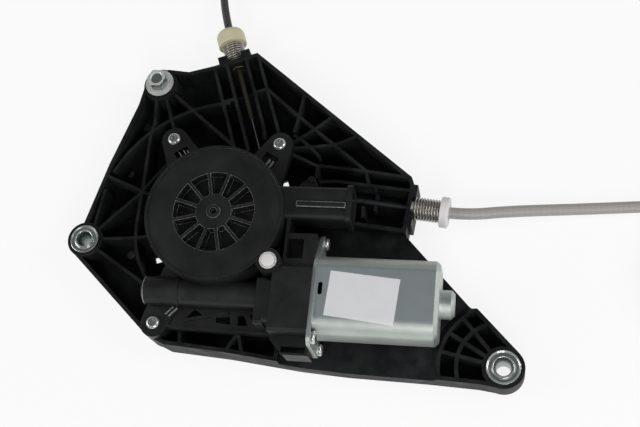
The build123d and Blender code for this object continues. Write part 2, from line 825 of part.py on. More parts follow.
    # Pierced web between the third ear, the tube and the block, with a stiffening rib
    with BuildSketch(Plane.XY.offset(ear_bottom)):
        with BuildLine():
            Polyline((-31.0, -60.4), (-24.6, -51.0), (-20.0, -44.0), (37.0, -44.0), (37.0, -61.6), close=True)
        make_face()
        for points in web_openings:
            with BuildLine():
                Polyline(*points, close=True)
            make_face(mode=Mode.SUBTRACT)
    extrude(amount=ear_top - ear_bottom - 0.8)
    with BuildSketch(Plane.XY.offset(ear_bottom)):
        with BuildLine():
            Line((-25.1, -53.1), (-19.4, -45.5))
            Polyline(ears[2], (-18.0, -59.8), (37.0, -60.8))
            Line((-16.0, -55.8), (9.4, -50.4))
        trace(line_width=1.6)
    extrude(amount=ear_top - ear_bottom)
    # Wheel chamber with the seat for its cover
    with BuildSketch(Plane.XY.offset(chamber_bottom)):
        Circle(chamber_radius)
    extrude(amount=housing_top, mode=Mode.SUBTRACT)
    with BuildSketch(Plane.XY.offset(cover_seat)):
        Circle(cover_radius)
    extrude(amount=housing_top, mode=Mode.SUBTRACT)
    with BuildSketch(Plane.XY.offset(ear_bottom)):
        Circle(neck_opening_radius)
    extrude(amount=housing_top, mode=Mode.SUBTRACT)
    # Bore for the worm and room for the brushes
    with BuildSketch(Plane.YZ.offset(worm_tube_end)):
        with Locations((worm_y, worm_z)):
            Circle(worm_bore_radius)
    extrude(amount=brush_cavity_start - worm_tube_end, mode=Mode.SUBTRACT)
    with BuildSketch(Plane.YZ.offset(brush_cavity_start)):
        with Locations((worm_y, worm_z)):
            RectangleRounded(brush_cavity_width, brush_cavity_height, 3)
    extrude(amount=block_end - brush_cavity_start, mode=Mode.SUBTRACT)
    # Connector socket, vent bore and ear bores
    with BuildSketch(Plane.YZ.offset(shroud_end)):
        with Locations((shroud_y, shroud_z)):
            RectangleRounded(shroud_width - 2 * shroud_wall, shroud_height - 2 * shroud_wall, shroud_corner - shroud_wall)
    extrude(amount=-socket_depth, mode=Mode.SUBTRACT)
    with BuildSketch(Plane.XY.offset(vent_bottom)):
        with Locations(vent_centre):
            Circle(vent_radius)
    extrude(amount=housing_top, mode=Mode.SUBTRACT)
    with BuildSketch(Plane.XY.offset(ear_bottom)):
        with Locations(*ears):
            Circle(screw_radius + screw_clearance)
    extrude(amount=housing_top, mode=Mode.SUBTRACT)

write(gear_housing.part, "gear_housing")

# Seal and spoked cover of the wheel chamber
seal_thickness = 0.6

with BuildPart() as cover_seal:
    with BuildSketch(Plane.XY.offset(cover_seat)):
        Circle(cover_radius)
        Circle(chamber_radius, mode=Mode.SUBTRACT)
    extrude(amount=seal_thickness)

write(cover_seal.part, "cover_seal")

cover_inner_radius = spoke_outer_radius + spoke_wall
hub_hole_radius = 2.0
hub_hole_depth = 3.0

with BuildPart() as gear_cover:
    with BuildSketch(Plane.XY.offset(cover_seat + seal_thickness)):
        Circle(cover_radius)
    extrude(amount=cover_top - cover_seat - seal_thickness)
    with BuildSketch(Plane.XY.offset(cover_seat + seal_thickness)):
        Circle(chamber_radius - 1.2)
    extrude(amount=cover_top - cover_skin - cover_seat - seal_thickness, mode=Mode.SUBTRACT)
    with BuildSketch(Plane.XY.offset(cover_inner_bottom)):
        Circle(cover_inner_radius)
    extrude(amount=cover_top - cover_inner_bottom)
    with BuildSketch(Plane.XY.offset(cover_top)):
        Circle(spoke_outer_radius)
        Circle(spoke_inner_radius, mode=Mode.SUBTRACT)
        with PolarLocations((spoke_inner_radius + spoke_outer_radius) / 2, spoke_count, start_angle=14):
            Rectangle(spoke_outer_radius - spoke_inner_radius + 2, spoke_wall, mode=Mode.SUBTRACT)
    extrude(amount=-spoke_depth, mode=Mode.SUBTRACT)
    with BuildSketch(Plane.XY.offset(cover_top)):
        Circle(collar_radius)
    extrude(amount=housing_top - cover_top)
    with BuildSketch(Plane.XY.offset(housing_top)):
        Circle(hub_hole_radius)
    extrude(amount=-hub_hole_depth, mode=Mode.SUBTRACT)
    with BuildSketch(Plane.XY.offset(cover_inner_bottom)):
        Circle(axle_radius)
    extrude(amount=axle_top - cover_inner_bottom, mode=Mode.SUBTRACT)

write(gear_cover.part, "gear_cover")

# Screws in the ears
with BuildPart() as housing_screws:
    with BuildSketch(Plane.XY.offset(ear_top)):
        with Locations(*ears):
            Circle(screw_head_radius)
    extrude(amount=screw_head)
    chamfer(housing_screws.faces().sort_by(Axis.Z)[-3:].edges(), 0.8)
    with BuildSketch(Plane.XY.offset(deck - screw_reach)):
        with Locations(*ears):
            Circle(screw_radius)
    extrude(amount=ear_top - deck + screw_reach)

write(housing_screws.part, "housing_screws")

# White vent plug
with BuildPart() as vent_plug:
    with BuildSketch(Plane.XY.offset(vent_bottom)):
        with Locations(vent_centre):
            Circle(vent_radius)
    extrude(amount=vent_top - vent_bottom)
    chamfer(vent_plug.faces().sort_by(Axis.Z)[-1].edges(), 0.5)

write(vent_plug.part, "vent_plug")

# Domed plug at the end of the worm tube
plug_dome = 2.4

with BuildPart() as worm_end_plug:
    with BuildSketch(Plane.YZ.offset(worm_tube_end - plug_dome)):
        with Locations((worm_y, worm_z)):
            Circle(worm_tube_radius)
    extrude(amount=plug_dome)
    chamfer(worm_end_plug.faces().sort_by(Axis.X)[0].edges(), plug_dome * 0.8, plug_dome * 1.4)
    with BuildSketch(Plane.YZ.offset(worm_tube_end)):
        with Locations((worm_y, worm_z)):
            Circle(worm_bore_radius)
    extrude(amount=shaft_start - seat_gap - worm_tube_end)

write(worm_end_plug.part, "worm_end_plug")


# Sleeve bearings of the armature shaft: label, where each starts, its outer radius
for label, start, radius in (
    ("end_bearing", shaft_start, worm_bore_radius),
    ("front_bearing", front_bearing_start, worm_bore_radius),
    ("rear_bearing", can_end - can_wall, 5.0),
):
    with BuildPart() as bearing:
        with BuildSketch(Plane.YZ.offset(start)):
            with Locations((worm_y, worm_z)):
                Circle(radius)
                Circle(shaft_radius + axle_clearance, mode=Mode.SUBTRACT)
        extrude(amount=bearing_length - 1)
    write(bearing.part, label)

# Armature shaft with its worm: one right-hand thread
worm_length = worm_turns * worm_lead
thread_root_half = tooth_width / 2 + (worm_pitch_radius - worm_root_radius + 0.15) * tan(radians(pressure_angle))
thread_plane = Plane(origin=(-worm_length / 2, worm_y, worm_z), x_dir=(0, cos(pi * worm_turns), 0), z_dir=(1, 0, 0))


def worm_thread():
    """Right-hand thread along Z, its crest on +X at the start."""
    with BuildPart() as thread:
        with BuildLine():
            Helix(pitch=worm_lead, height=worm_length, radius=worm_root_radius - 0.15)
        with BuildSketch(Plane.XZ):
            with BuildLine():
                Polyline(
                    (worm_root_radius - 0.15, -thread_root_half),
                    (worm_tip_radius, -tooth_tip_half),
                    (worm_tip_radius, tooth_tip_half),
                    (worm_root_radius - 0.15, thread_root_half),
                    close=True,
                )
            make_face()
        sweep(is_frenet=True)
    return thread.part


thread = thread_plane.location * worm_thread()

with BuildPart() as armature_shaft:
    add(thread)
    with BuildSketch(Plane.YZ.offset(-worm_length / 2 - 2)):
        with Locations((worm_y, worm_z)):
            Circle(worm_root_radius)
    extrude(amount=worm_length + 4)
    with BuildSketch(Plane.YZ.offset(shaft_start)):
        with Locations((worm_y, worm_z)):
            Circle(shaft_radius)
    extrude(amount=shaft_end - shaft_start)

write(armature_shaft.part, "armature_shaft")

# Armature core, its windings and the commutator
slot_width = 2.4
slot_bottom = 5.6
winding_radius = 8.8
winding_end = 6.0
commutator_start, commutator_end = 44.0, 54.0

with BuildPart() as armature_core:
    with BuildSketch(Plane.YZ.offset(core_start)):
        with Locations((worm_y, worm_z)):
            Circle(core_radius)
            Circle(shaft_radius, mode=Mode.SUBTRACT)
            with PolarLocations((slot_bottom + core_radius) / 2 + 0.5, core_slots):
                Rectangle(core_radius - slot_bottom + 1, slot_width, mode=Mode.SUBTRACT)
    extrude(amount=core_end - core_start)

write(armature_core.part, "armature_core")

with BuildPart() as armature_windings:
    with BuildSketch(Plane.YZ.offset(core_start)):
        with Locations((worm_y, worm_z)):
            with PolarLocations((slot_bottom + winding_radius) / 2, core_slots):
                Rectangle(winding_radius - slot_bottom, slot_width)
    extrude(amount=core_end - core_start)
    for start in (core_start - winding_end, core_end):
        with BuildSketch(Plane.YZ.offset(start)):
            with Locations((worm_y, worm_z)):
                Circle(winding_radius)
                Circle(shaft_radius, mode=Mode.SUBTRACT)
        extrude(amount=winding_end)

write(armature_windings.part, "armature_windings")

with BuildPart() as commutator:
    with BuildSketch(Plane.YZ.offset(commutator_start)):
        with Locations((worm_y, worm_z)):
            Circle(commutator_radius)
            Circle(shaft_radius, mode=Mode.SUBTRACT)
    extrude(amount=commutator_end - commutator_start)

write(commutator.part, "commutator")

# Motor can with its lobed flange and the nub of the rear bearing
can_screw_places = [
    (worm_y + can_width / 2 + 9.75, 26.0),
    (worm_y - can_width / 2 - 2.95, 40.0),
    (worm_y - can_width / 2 - 3.95, 16.0),
]
lobe_radius = 4.4
nub_bore_radius = 5.0

with BuildPart() as motor_can:
    with BuildSketch(Plane.YZ.offset(can_start - flange)):
        with Locations((worm_y, worm_z)):
            RectangleRounded(can_width, can_height, can_corner)
        with Locations(*can_screw_places):
            Circle(lobe_radius)
        make_hull()
    extrude(amount=flange)
    with BuildSketch(Plane.YZ.offset(can_start)):
        with Locations((worm_y, worm_z)):
            RectangleRounded(can_width, can_height, can_corner)
    extrude(amount=can_end - can_start)
    chamfer(motor_can.faces().sort_by(Axis.X)[-1].edges(), 2.0)
    with BuildSketch(Plane.YZ.offset(can_end)):
        with Locations((worm_y, worm_z)):
            Circle(nub_radius)
    extrude(amount=nub_length + nub_dome)
    chamfer(motor_can.faces().sort_by(Axis.X)[-1].edges(), nub_dome)
    with BuildSketch(Plane.YZ.offset(can_start - flange)):
        with Locations((worm_y, worm_z)):
            RectangleRounded(can_width - 2 * can_wall, can_height - 2 * can_wall, can_corner - can_wall)
    extrude(amount=can_end - can_wall - can_start + flange, mode=Mode.SUBTRACT)
    with BuildSketch(Plane.YZ.offset(can_end - can_wall)):
        with Locations((worm_y, worm_z)):
            Circle(nub_bore_radius)
    extrude(amount=nub_length, mode=Mode.SUBTRACT)
    with BuildSketch(Plane.YZ.offset(can_start - flange)):
        with Locations(*can_screw_places):
            Circle(1.8)
    extrude(amount=flange, mode=Mode.SUBTRACT)
    # Slot through the top, beside the flange
    with BuildSketch(Plane.XY.offset(worm_z + can_height / 2)):
        with Locations((can_start + 2.6, worm_y + 1.8)):
            SlotOverall(7.0, 2.4, rotation=90)
    extrude(amount=-can_wall - 0.2, mode=Mode.SUBTRACT)

write(motor_can.part, "motor_can")

# Screws of the can's flange
with BuildPart() as can_screws:
    with BuildSketch(Plane.YZ.offset(can_start)):
        with Locations(*can_screw_places):
            Circle(3.5)
    extrude(amount=2.6)
    chamfer(can_screws.faces().sort_by(Axis.X)[-3:].edges(), 0.8)
    with BuildSketch(Plane.YZ.offset(block_end)):
        with Locations(*can_screw_places):
            Circle(1.8)
    extrude(amount=flange)

write(can_screws.part, "can_screws")

# Blank label that follows the can's top
with BuildPart() as motor_label:
    with BuildSketch(Plane.YZ.offset(can_start + 2)):
        with Locations((worm_y, worm_z)):
            RectangleRounded(
                can_width + 2 * label_thickness, can_height + 2 * label_thickness, can_corner + label_thickness
            )
            RectangleRounded(can_width, can_height, can_corner, mode=Mode.SUBTRACT)
    extrude(amount=can_end - can_start - 10)
    with BuildSketch(Plane.XY.offset(worm_z + 6)):
        with BuildLine():
            Polyline((66.7, -29.5), (103.4, -32.7), (101.3, -57.3), (64.9, -53.6), close=True)
        make_face()
    extrude(amount=can_height, mode=Mode.INTERSECT)

write(motor_label.part, "motor_label")

# Permanent magnets on both sides of the armature
magnet_height = 12.0

with BuildPart() as magnets:
    with BuildSketch(Plane.YZ.offset(core_start + 1)):
        with Locations((worm_y, worm_z)):
            Rectangle(can_width - 2 * can_wall, magnet_height)
            Circle(core_radius + magnet_gap, mode=Mode.SUBTRACT)
            Rectangle(core_radius, magnet_height, mode=Mode.SUBTRACT)
    extrude(amount=core_end - core_start - 2)

write(magnets.part, "magnets")

# Brush card with its two holders, and the brushes
brush_start, brush_end = 46.0, 51.0
brush_width = 5.0
brush_tip = commutator_radius + 0.3
brush_back = 12.0
holder_wall = 1.5

with BuildPart() as brush_card:
    with BuildSketch(Plane.YZ.offset(brush_end + holder_wall)):
        with Locations((worm_y, worm_z)):
            RectangleRounded(brush_cavity_width, brush_cavity_height, 3)
            Circle(commutator_radius + 1.5, mode=Mode.SUBTRACT)
    extrude(amount=2)
    for side in (-1, 1):
        with BuildSketch(Plane.YZ.offset(brush_start - holder_wall)):
            with Locations((worm_y + side * (brush_back + holder_wall + brush_tip + 1) / 2, worm_z)):
                Rectangle(brush_back + holder_wall - brush_tip - 1, brush_width + 2 * holder_wall)
        extrude(amount=brush_end - brush_start + 2 * holder_wall)
    for side in (-1, 1):
        with BuildSketch(Plane.YZ.offset(brush_start)):
            with Locations((worm_y + side * brush_back / 2, worm_z)):
                Rectangle(brush_back, brush_width)
        extrude(amount=brush_end - brush_start, mode=Mode.SUBTRACT)

write(brush_card.part, "brush_card")

with BuildPart() as carbon_brushes:
    for side in (-1, 1):
        with BuildSketch(Plane.YZ.offset(brush_start)):
            with Locations((worm_y + side * (brush_back + brush_tip) / 2, worm_z)):
                Rectangle(brush_back - brush_tip, brush_width)
        extrude(amount=brush_end - brush_start)

write(carbon_brushes.part, "carbon_brushes")

# Blades in the connector
blade_count = 4
blade_pitch = 3.6

with BuildPart() as connector_terminals:
    with BuildSketch(Plane.YZ.offset(shroud_end - socket_depth)):
        with Locations((shroud_y, shroud_z)):
            with GridLocations(blade_pitch, 5.0, blade_count, 2):
                Rectangle(1.5, 0.8)
    extrude(amount=socket_depth - 6)

write(connector_terminals.part, "connector_terminals")


def tension_spring():
    """Wire spring that stands on its start plane."""
    length = spring_length - 2 * spring_wire - 0.1
    with BuildPart() as spring:
        with BuildLine() as coil:
            Helix(pitch=length / spring_turns, height=length, radius=spring_radius - spring_wire)
        with BuildSketch(Plane(origin=coil.line @ 0, z_dir=coil.line % 0)):
            RegularPolygon(spring_wire, 4)
        sweep(is_frenet=True)
    return spring.part


def ferrule(stem, flange, rounding, conduit_radius):
    """Stem through the spring, rounded flange and the socket of the conduit."""
    with BuildPart() as body:
        with BuildSketch(Plane.XY.offset(-stem)):
            Circle(ferrule_stem_radius)
        extrude(amount=stem)
        with BuildSketch():
            Circle(ferrule_radius)
        extrude(amount=flange)
        fillet(body.faces().sort_by(Axis.Z)[-1].edges(), rounding)
        with BuildSketch(Plane.XY.offset(-stem)):
            Circle(liner_radius)
        extrude(amount=stem + flange - ferrule_socket, mode=Mode.SUBTRACT)
        with BuildSketch(Plane.XY.offset(flange)):
            Circle(conduit_radius)
        extrude(amount=-ferrule_socket, mode=Mode.SUBTRACT)
    return body.part


def tube(plane, outer, inner, length):
    """Straight tube or rod along a plane's normal."""
    with BuildPart() as pipe:
        with BuildSketch(plane):
            Circle(outer)
            if inner:
                Circle(inner, mode=Mode.SUBTRACT)
        extrude(amount=length)
    return pipe.part


def cord(points, radius, label):
    """Tube along straight runs joined by tangent arcs, each as large as its two runs allow."""
    route = [Vector(*point) for point in points]
    runs = [after - before for before, after in zip(route, route[1:])]
    radii = []
    for before, after in zip(runs, runs[1:]):
        shorter = min(before.length, after.length)
        radii.append(0.45 * shorter / tan(radians(before.get_angle(after) / 2)))
    with BuildPart() as body:
        with BuildLine() as path:
            FilletPolyline(*route, radius=radii)
        with BuildSketch(Plane(origin=path.line @ 0, z_dir=path.line % 0)):
            Circle(radius)
        sweep()
    length = path.wire().length
    print(label, "radii", [round(value) for value in radii], "length", round(length, 1))
    print(label, "volume", round(body.part.volume, 1), "section times length", round(pi * radius**2 * length, 1))
    return body.part


def put_away(centre, mean_radius, radius, turns):
    """Outer shape of a conduit laid in a ring, its turns on top of each other."""
    height = turns * (2 * radius + 0.2)
    with BuildPart() as ring:
        with BuildSketch(Plane(origin=(*centre, 0), x_dir=(1, 0, 0), z_dir=(0, -1, 0))):
            with Locations((mean_radius, height / 2)):
                section = Rectangle(2 * radius + 0.4, height)
            chamfer(section.vertices(), radius * 0.6)
        revolve(axis=Axis(origin=(*centre, 0), direction=(0, 0, 1)))
    return ring.part


# Springs, ferrules and liners of the two cable exits
top_exit = cable_plane(top_heading, top_side, top_cable_height, top_end)
right_exit = cable_plane(right_heading, right_side, right_cable_height, right_seat)
top_stem = top_ferrule_start - top_end + rim_wall + 0.6
right_stem = right_ferrule_start - right_end + rim_wall + 0.6
top_ferrule = ferrule(top_stem, top_ferrule_flange, top_ferrule_rounding, top_conduit_radius)
right_ferrule = ferrule(right_stem, right_ferrule_flange, right_ferrule_rounding, right_conduit_radius)
write(top_exit.offset(spring_wire).location * tension_spring(), "spring_top")
write(right_exit.offset(spring_wire).location * tension_spring(), "spring_right")
write(top_exit.offset(spring_length).location * top_ferrule, "ferrule_top")
write(right_exit.offset(spring_length).location * right_ferrule, "ferrule_right")

top_liner_end = top_ferrule_end - ferrule_socket
right_liner_end = right_ferrule_end - ferrule_socket
top_liner_plane = cable_plane(top_heading, top_side, top_cable_height, top_liner_start)
right_liner_plane = cable_plane(right_heading, right_side, right_cable_height, right_liner_start)
write(tube(top_liner_plane, liner_radius, liner_bore, top_liner_end - top_liner_start), "liner_top")
write(tube(right_liner_plane, liner_radius, liner_bore, right_liner_end - right_liner_start), "liner_right")

# Cables from the drum to where the conduits begin
top_wire_plane = cable_plane(top_heading, top_side, top_cable_height, 0)
right_wire_plane = cable_plane(right_heading, right_side, right_cable_height, 0)
write(tube(top_wire_plane, cable_radius, 0, top_liner_end - cable_end_gap), "wire_top")
write(tube(right_wire_plane, cable_radius, 0, right_liner_end - cable_end_gap), "wire_right")

# Conduits: the run that the photo shows, the ring beyond its edge, and the tail with the end fitting
fitting_radius = 4.2
fitting_length = 14.0
cable_tail = 15.0
nipple_radius = 2.5
nipple_length = 6.0

top_ring_centre = (0.6, 194.0)
top_ring_radius = 27.5
top_route = [
    (*top_lane(top_ferrule_end - ferrule_socket), top_cable_height),
    (*top_lane(138.0), top_cable_height),
    (-25.0, 161.5, 5.0),
    (-27.0, 185.0, 2.6),
]
top_tail_route = [(-26.9, 197.0, 7.4), (-27.6, 218.0, 4.4), (-30.2, 236.0, 4.4)]

right_ring_centre = (272.0, -10.0)
right_ring_radius = 36.0
right_route = [
    (*right_lane(right_ferrule_end - ferrule_socket), right_cable_height),
    (*right_lane(131.0), right_cable_height),
    (157.0, 19.0, 10.0),
    (200.0, 24.0, 4.4),
    (238.0, 27.6, 3.3),
    (266.0, 26.4, 3.4),
]
right_tail_route = [(276.0, 26.0, 9.8), (302.0, 24.6, 5.2), (326.0, 19.6, 5.2)]

for name, route, tail_route, centre, ring_radius, radius in (
    ("top", top_route, top_tail_route, top_ring_centre, top_ring_radius, top_conduit_radius),
    ("right", right_route, right_tail_route, right_ring_centre, right_ring_radius, right_conduit_radius),
):
    write(cord(route, radius, f"conduit_{name}"), f"conduit_{name}")
    write(put_away(centre, ring_radius, radius, 2), f"conduit_{name}_coil")
    write(cord(tail_route, radius, f"conduit_{name}_tail"), f"conduit_{name}_tail")
    last = Vector(*tail_route[-1])
    along = last - Vector(*tail_route[-2])
    end_plane = Plane(origin=last, z_dir=Vector(along.X, along.Y, 0))
    write(tube(end_plane, fitting_radius, 0, fitting_length), f"conduit_{name}_end")
    with BuildPart() as cable_end:
        with BuildSketch(end_plane.offset(fitting_length)):
            Circle(cable_radius)
        extrude(amount=cable_tail)
        with BuildSketch(end_plane.offset(fitting_length + cable_tail)):
            Circle(nipple_radius)
        extrude(amount=nipple_length)
    write(cable_end.part, f"cable_end_{name}")
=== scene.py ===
"""Drive unit of a cable window regulator, dressed over its CAD frame."""

import json
import logging
from dataclasses import dataclass
from enum import Enum
from math import cos, pi, radians, sin

import bmesh
import bpy
from mathutils import Matrix, Vector


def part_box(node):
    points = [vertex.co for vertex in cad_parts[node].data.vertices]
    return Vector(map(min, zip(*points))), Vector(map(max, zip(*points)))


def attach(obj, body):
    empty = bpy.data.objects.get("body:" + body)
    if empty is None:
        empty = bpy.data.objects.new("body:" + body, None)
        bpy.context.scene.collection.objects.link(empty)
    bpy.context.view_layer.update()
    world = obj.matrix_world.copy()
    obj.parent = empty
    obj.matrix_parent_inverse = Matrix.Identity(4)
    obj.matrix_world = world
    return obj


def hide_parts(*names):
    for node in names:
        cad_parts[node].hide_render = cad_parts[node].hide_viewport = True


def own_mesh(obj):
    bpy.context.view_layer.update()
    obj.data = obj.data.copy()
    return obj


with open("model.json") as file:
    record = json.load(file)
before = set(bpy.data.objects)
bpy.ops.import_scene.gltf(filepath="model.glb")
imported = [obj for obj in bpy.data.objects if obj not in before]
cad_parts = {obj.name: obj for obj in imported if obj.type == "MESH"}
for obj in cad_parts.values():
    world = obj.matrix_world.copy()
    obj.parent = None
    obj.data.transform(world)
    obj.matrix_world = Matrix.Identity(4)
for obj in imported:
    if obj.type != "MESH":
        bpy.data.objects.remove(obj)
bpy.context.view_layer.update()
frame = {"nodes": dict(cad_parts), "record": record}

logging.basicConfig(level=logging.INFO, format="%(message)s")
log = logging.getLogger("regulator")

MM = 0.001
# Outer radius of the six-lobed recess of a screw
LOBE_MM = 2.3
# Its radius between the lobes, as a share of that
LOBE_SHARE = 0.7
ORIGIN = (0.0, 0.0, 0.0)
UP = Vector((0.0, 0.0, 1.0))
Flat = tuple[float, float]
Point = tuple[float, float, float]
Piece = bpy.types.Object


def linear(colour: str) -> tuple[float, float, float, float]:
    """Turn an sRGB hex colour into linear numbers.

    Args:
        colour: Six hex digits, such as "a8adaa".

    Returns:
        Red, green, blue and alpha, linear.
    """
    parts = [int(colour[start : start + 2], 16) / 255 for start in (0, 2, 4)]
    red, green, blue = (p / 12.92 if p <= 0.04045 else ((p + 0.055) / 1.055) ** 2.4 for p in parts)
    return red, green, blue, 1.0


def node(
    material: bpy.types.Material | bpy.types.World,
    kind: str,
    settings: dict[str, object] | None = None,
    inputs: dict[str | int, object] | None = None,
    links: dict[str | int, bpy.types.NodeSocket] | None = None,
) -> bpy.types.Node:
    """Add one shader node.

    Args:
        material: The material or world that gets the node.
        kind: Blender's name of the node type.
        settings: Attributes to set on the node.
        inputs: Values of its input sockets.
        links: Output sockets to link to its input sockets.

    Returns:
        The new node.
    """
    tree = material.node_tree
    made = tree.nodes.new(kind)
    for name, value in (settings or {}).items():
        setattr(made, name, value)
    for name, value in (inputs or {}).items():
        made.inputs[name].default_value = value
    for name, source in (links or {}).items():
        tree.links.new(source, made.inputs[name])
    return made


def empty_material(name: str) -> bpy.types.Material:
    """Make a material without any node.

    Args:
        name: Name of the material.

    Returns:
        The new material.
    """
    material = bpy.data.materials.new(name)
    material.use_nodes = True
    material.node_tree.nodes.clear()
    return material


class Gloss(Enum):
    """What the gloss of a surface follows."""

    PATCHES = "patches"
    GRAIN = "grain"


@dataclass(frozen=True)
class Finish:
    """One surface finish: its colours, gloss and grain.

    Attributes:
        name: Name of the material.
        slot: Material slot of the record that it belongs to. Not used.
        colour: Main colour, sRGB hex.
        second: Colour of the patches, sRGB hex.
        metallic: 1 on bare metal.
        roughness: Mean roughness.
        roughness_spread: How far the roughness wanders to each side.
        gloss: What its gloss follows.
        grain_mm: Size of the grain.
        bump_mm: Height of the grain.
        patch_mm: Size of the colour patches.
        patch_share: How much of the second colour shows at most.
        stretch: Scale of the grain along X, Y and Z.
        ior: Index of refraction, left at the default on metal.
    """

    name: str
    slot: str
    colour: str
    second: str
    metallic: float = 0.0
    roughness: float = 0.5
    roughness_spread: float = 0.06
    gloss: Gloss = Gloss.PATCHES
    grain_mm: float = 0.5
    bump_mm: float = 0.01
    patch_mm: float = 14.0
    patch_share: float = 0.4
    stretch: Point = (1.0, 1.0, 1.0)
    ior: float = 1.5

    def build(self) -> bpy.types.Material:
        """Make the material.

        Returns:
            The new material, its patterns on Object coordinates.
        """
        material = empty_material(self.name)
        place = node(material, "ShaderNodeTexCoord")
        patches = node(
            material, "ShaderNodeTexNoise",
            inputs={"Scale": 1 / (self.patch_mm * MM), "Detail": 4.0, "Roughness": 0.6},
            links={"Vector": place.outputs["Object"]},
        )
        share = node(
            material, "ShaderNodeMapRange",
            inputs={"From Min": 0.38, "From Max": 0.72, "To Min": 0.0, "To Max": self.patch_share},
            links={"Value": patches.outputs["Fac"]},
        )
        colour = node(
            material, "ShaderNodeMix", settings={"data_type": "RGBA"},
            inputs={6: linear(self.colour), 7: linear(self.second)}, links={0: share.outputs["Result"]},
        )
        stretched = node(
            material, "ShaderNodeMapping", inputs={"Scale": self.stretch}, links={"Vector": place.outputs["Object"]},
        )
        grain = node(
            material, "ShaderNodeTexNoise", inputs={"Scale": 1 / (self.grain_mm * MM), "Detail": 2.0},
            links={"Vector": stretched.outputs["Vector"]},
        )
        gloss = node(
            material,
            "ShaderNodeMapRange",
            inputs={
                "From Min": 0.3,
                "From Max": 0.7,
                "To Min": self.roughness - self.roughness_spread,
                "To Max": self.roughness + self.roughness_spread,
            },
            links={"Value": (grain if self.gloss is Gloss.GRAIN else patches).outputs["Fac"]},
        )
        bump = node(
            material, "ShaderNodeBump", inputs={"Strength": 0.6, "Distance": self.bump_mm * MM},
            links={"Height": grain.outputs["Fac"]},
        )
        shader = node(
            material,
            "ShaderNodeBsdfPrincipled",
            inputs={"Metallic": self.metallic},
            links={
                "Base Color": colour.outputs[2],
                "Roughness": gloss.outputs["Result"],
                "Normal": bump.outputs["Normal"],
            },
        )
        if not self.metallic:
            shader.inputs["IOR"].default_value = self.ior
        node(material, "ShaderNodeOutputMaterial", links={"Surface": shader.outputs["BSDF"]})
        return material


@dataclass(frozen=True)
class JacketFinish:
    """Outer jacket of a conduit, its pattern laid along the cord by its UV map.

    Attributes:
        name: Name of the material.
        slot: Material slot of the record that it belongs to. Not used.
        colour: Colour of the raised threads, sRGB hex.
        second: Colour between them, sRGB hex.
        roughness: Roughness of the jacket.
        pitch_mm: Distance between two rings or threads along the cord.
        bump_mm: Height of the pattern.
        braided: True for crossing threads, False for a smooth jacket with faint rings.
        threads: Number of threads that run each way round.
    """

    name: str
    slot: str
    colour: str
    second: str
    roughness: float
    pitch_mm: float
    bump_mm: float
    braided: bool
    threads: float = 4.0

    def build(self) -> bpy.types.Material:
        """Make the material.

        Returns:
            The new material, its pattern on the piece's UV map.
        """
        material = empty_material(self.name)
        place = node(material, "ShaderNodeTexCoord")
        split = node(material, "ShaderNodeSeparateXYZ", links={"Vector": place.outputs["UV"]})
        waves = []
        for turn in (1.0, -1.0) if self.braided else (0.0,):
            lean = node(
                material, "ShaderNodeMath", settings={"operation": "MULTIPLY"}, inputs={1: self.threads * turn},
                links={0: split.outputs["X"]},
            )
            along = node(
                material, "ShaderNodeMath", settings={"operation": "MULTIPLY_ADD"}, inputs={1: 1 / self.pitch_mm},
                links={0: split.outputs["Y"], 2: lean.outputs[0]},
            )
            angle = node(
                material, "ShaderNodeMath", settings={"operation": "MULTIPLY"}, inputs={1: 2 * pi},
                links={0: along.outputs[0]},
            )
            waves.append(
                node(material, "ShaderNodeMath", settings={"operation": "SINE"}, links={0: angle.outputs[0]})
            )
        height = waves[0]
        if self.braided:
            height = node(
                material, "ShaderNodeMath", settings={"operation": "MAXIMUM"},
                links={0: waves[0].outputs[0], 1: waves[1].outputs[0]},
            )
        raised = node(
            material, "ShaderNodeMapRange", inputs={"From Min": -1.0, "From Max": 1.0},
            links={"Value": height.outputs[0]},
        )
        colour = node(
            material, "ShaderNodeMix", settings={"data_type": "RGBA"},
            inputs={6: linear(self.second), 7: linear(self.colour)}, links={0: raised.outputs["Result"]},
        )
        bump = node(
            material, "ShaderNodeBump", inputs={"Strength": 0.8, "Distance": self.bump_mm * MM},
            links={"Height": raised.outputs["Result"]},
        )
        shader = node(
            material, "ShaderNodeBsdfPrincipled", inputs={"Roughness": self.roughness, "IOR": 1.5},
            links={"Base Color": colour.outputs[2], "Normal": bump.outputs["Normal"]},
        )
        node(material, "ShaderNodeOutputMaterial", links={"Surface": shader.outputs["BSDF"]})
        return material


# Glass-filled nylon, moulded: near black with a soft sheen and lighter flow marks
CARRIER_BLACK = Finish(
    "carrier_nylon", "carrier_plastic", "1b1c1d", "303132", roughness=0.44, roughness_spread=0.12, bump_mm=0.02,
    patch_mm=11.0, patch_share=0.75, ior=1.14,
)
# Greyer plastic of the straps on the coils; on the ejector pin marks of the pocket floors its lighter grey is a painted
# sheen
CARRIER_STRAP_GREY_AND_SHEEN = Finish(
    "carrier_grey_straps_and_painted_sheen", "carrier_plastic", "4a4b4c", "5a5b5c", roughness=0.5, bump_mm=0.02, patch_mm=3.0,
    ior=1.38,
)
# Edges of the ribs: greyer and shinier than the faces, partly wear and partly a painted highlight
CARRIER_EDGE_WEAR_AND_HIGHLIGHT = Finish(
    "carrier_nylon_worn_and_highlit_edges", "carrier_plastic", "58595a", "8c8e8f", roughness=0.32, bump_mm=0.02, patch_mm=5.0,
    patch_share=0.8,
)
# The gear housing's polymer is duller and a touch greyer
GEARBOX_BLACK = Finish(
    "gearbox_polymer", "gearbox_plastic", "131414", "222324", roughness=0.46, roughness_spread=0.1, bump_mm=0.015,
    patch_mm=16.0, patch_share=0.6, ior=1.42,
)
# Its moulded edges, and the thin ribs made of it, are a lighter grey: a painted highlight
GEARBOX_EDGE_HIGHLIGHT = Finish(
    "gearbox_polymer_edge_highlights", "gearbox_plastic", "6b6d6d", "a2a4a4", roughness=0.3, bump_mm=0.015, patch_mm=5.0,
    patch_share=0.8,
)
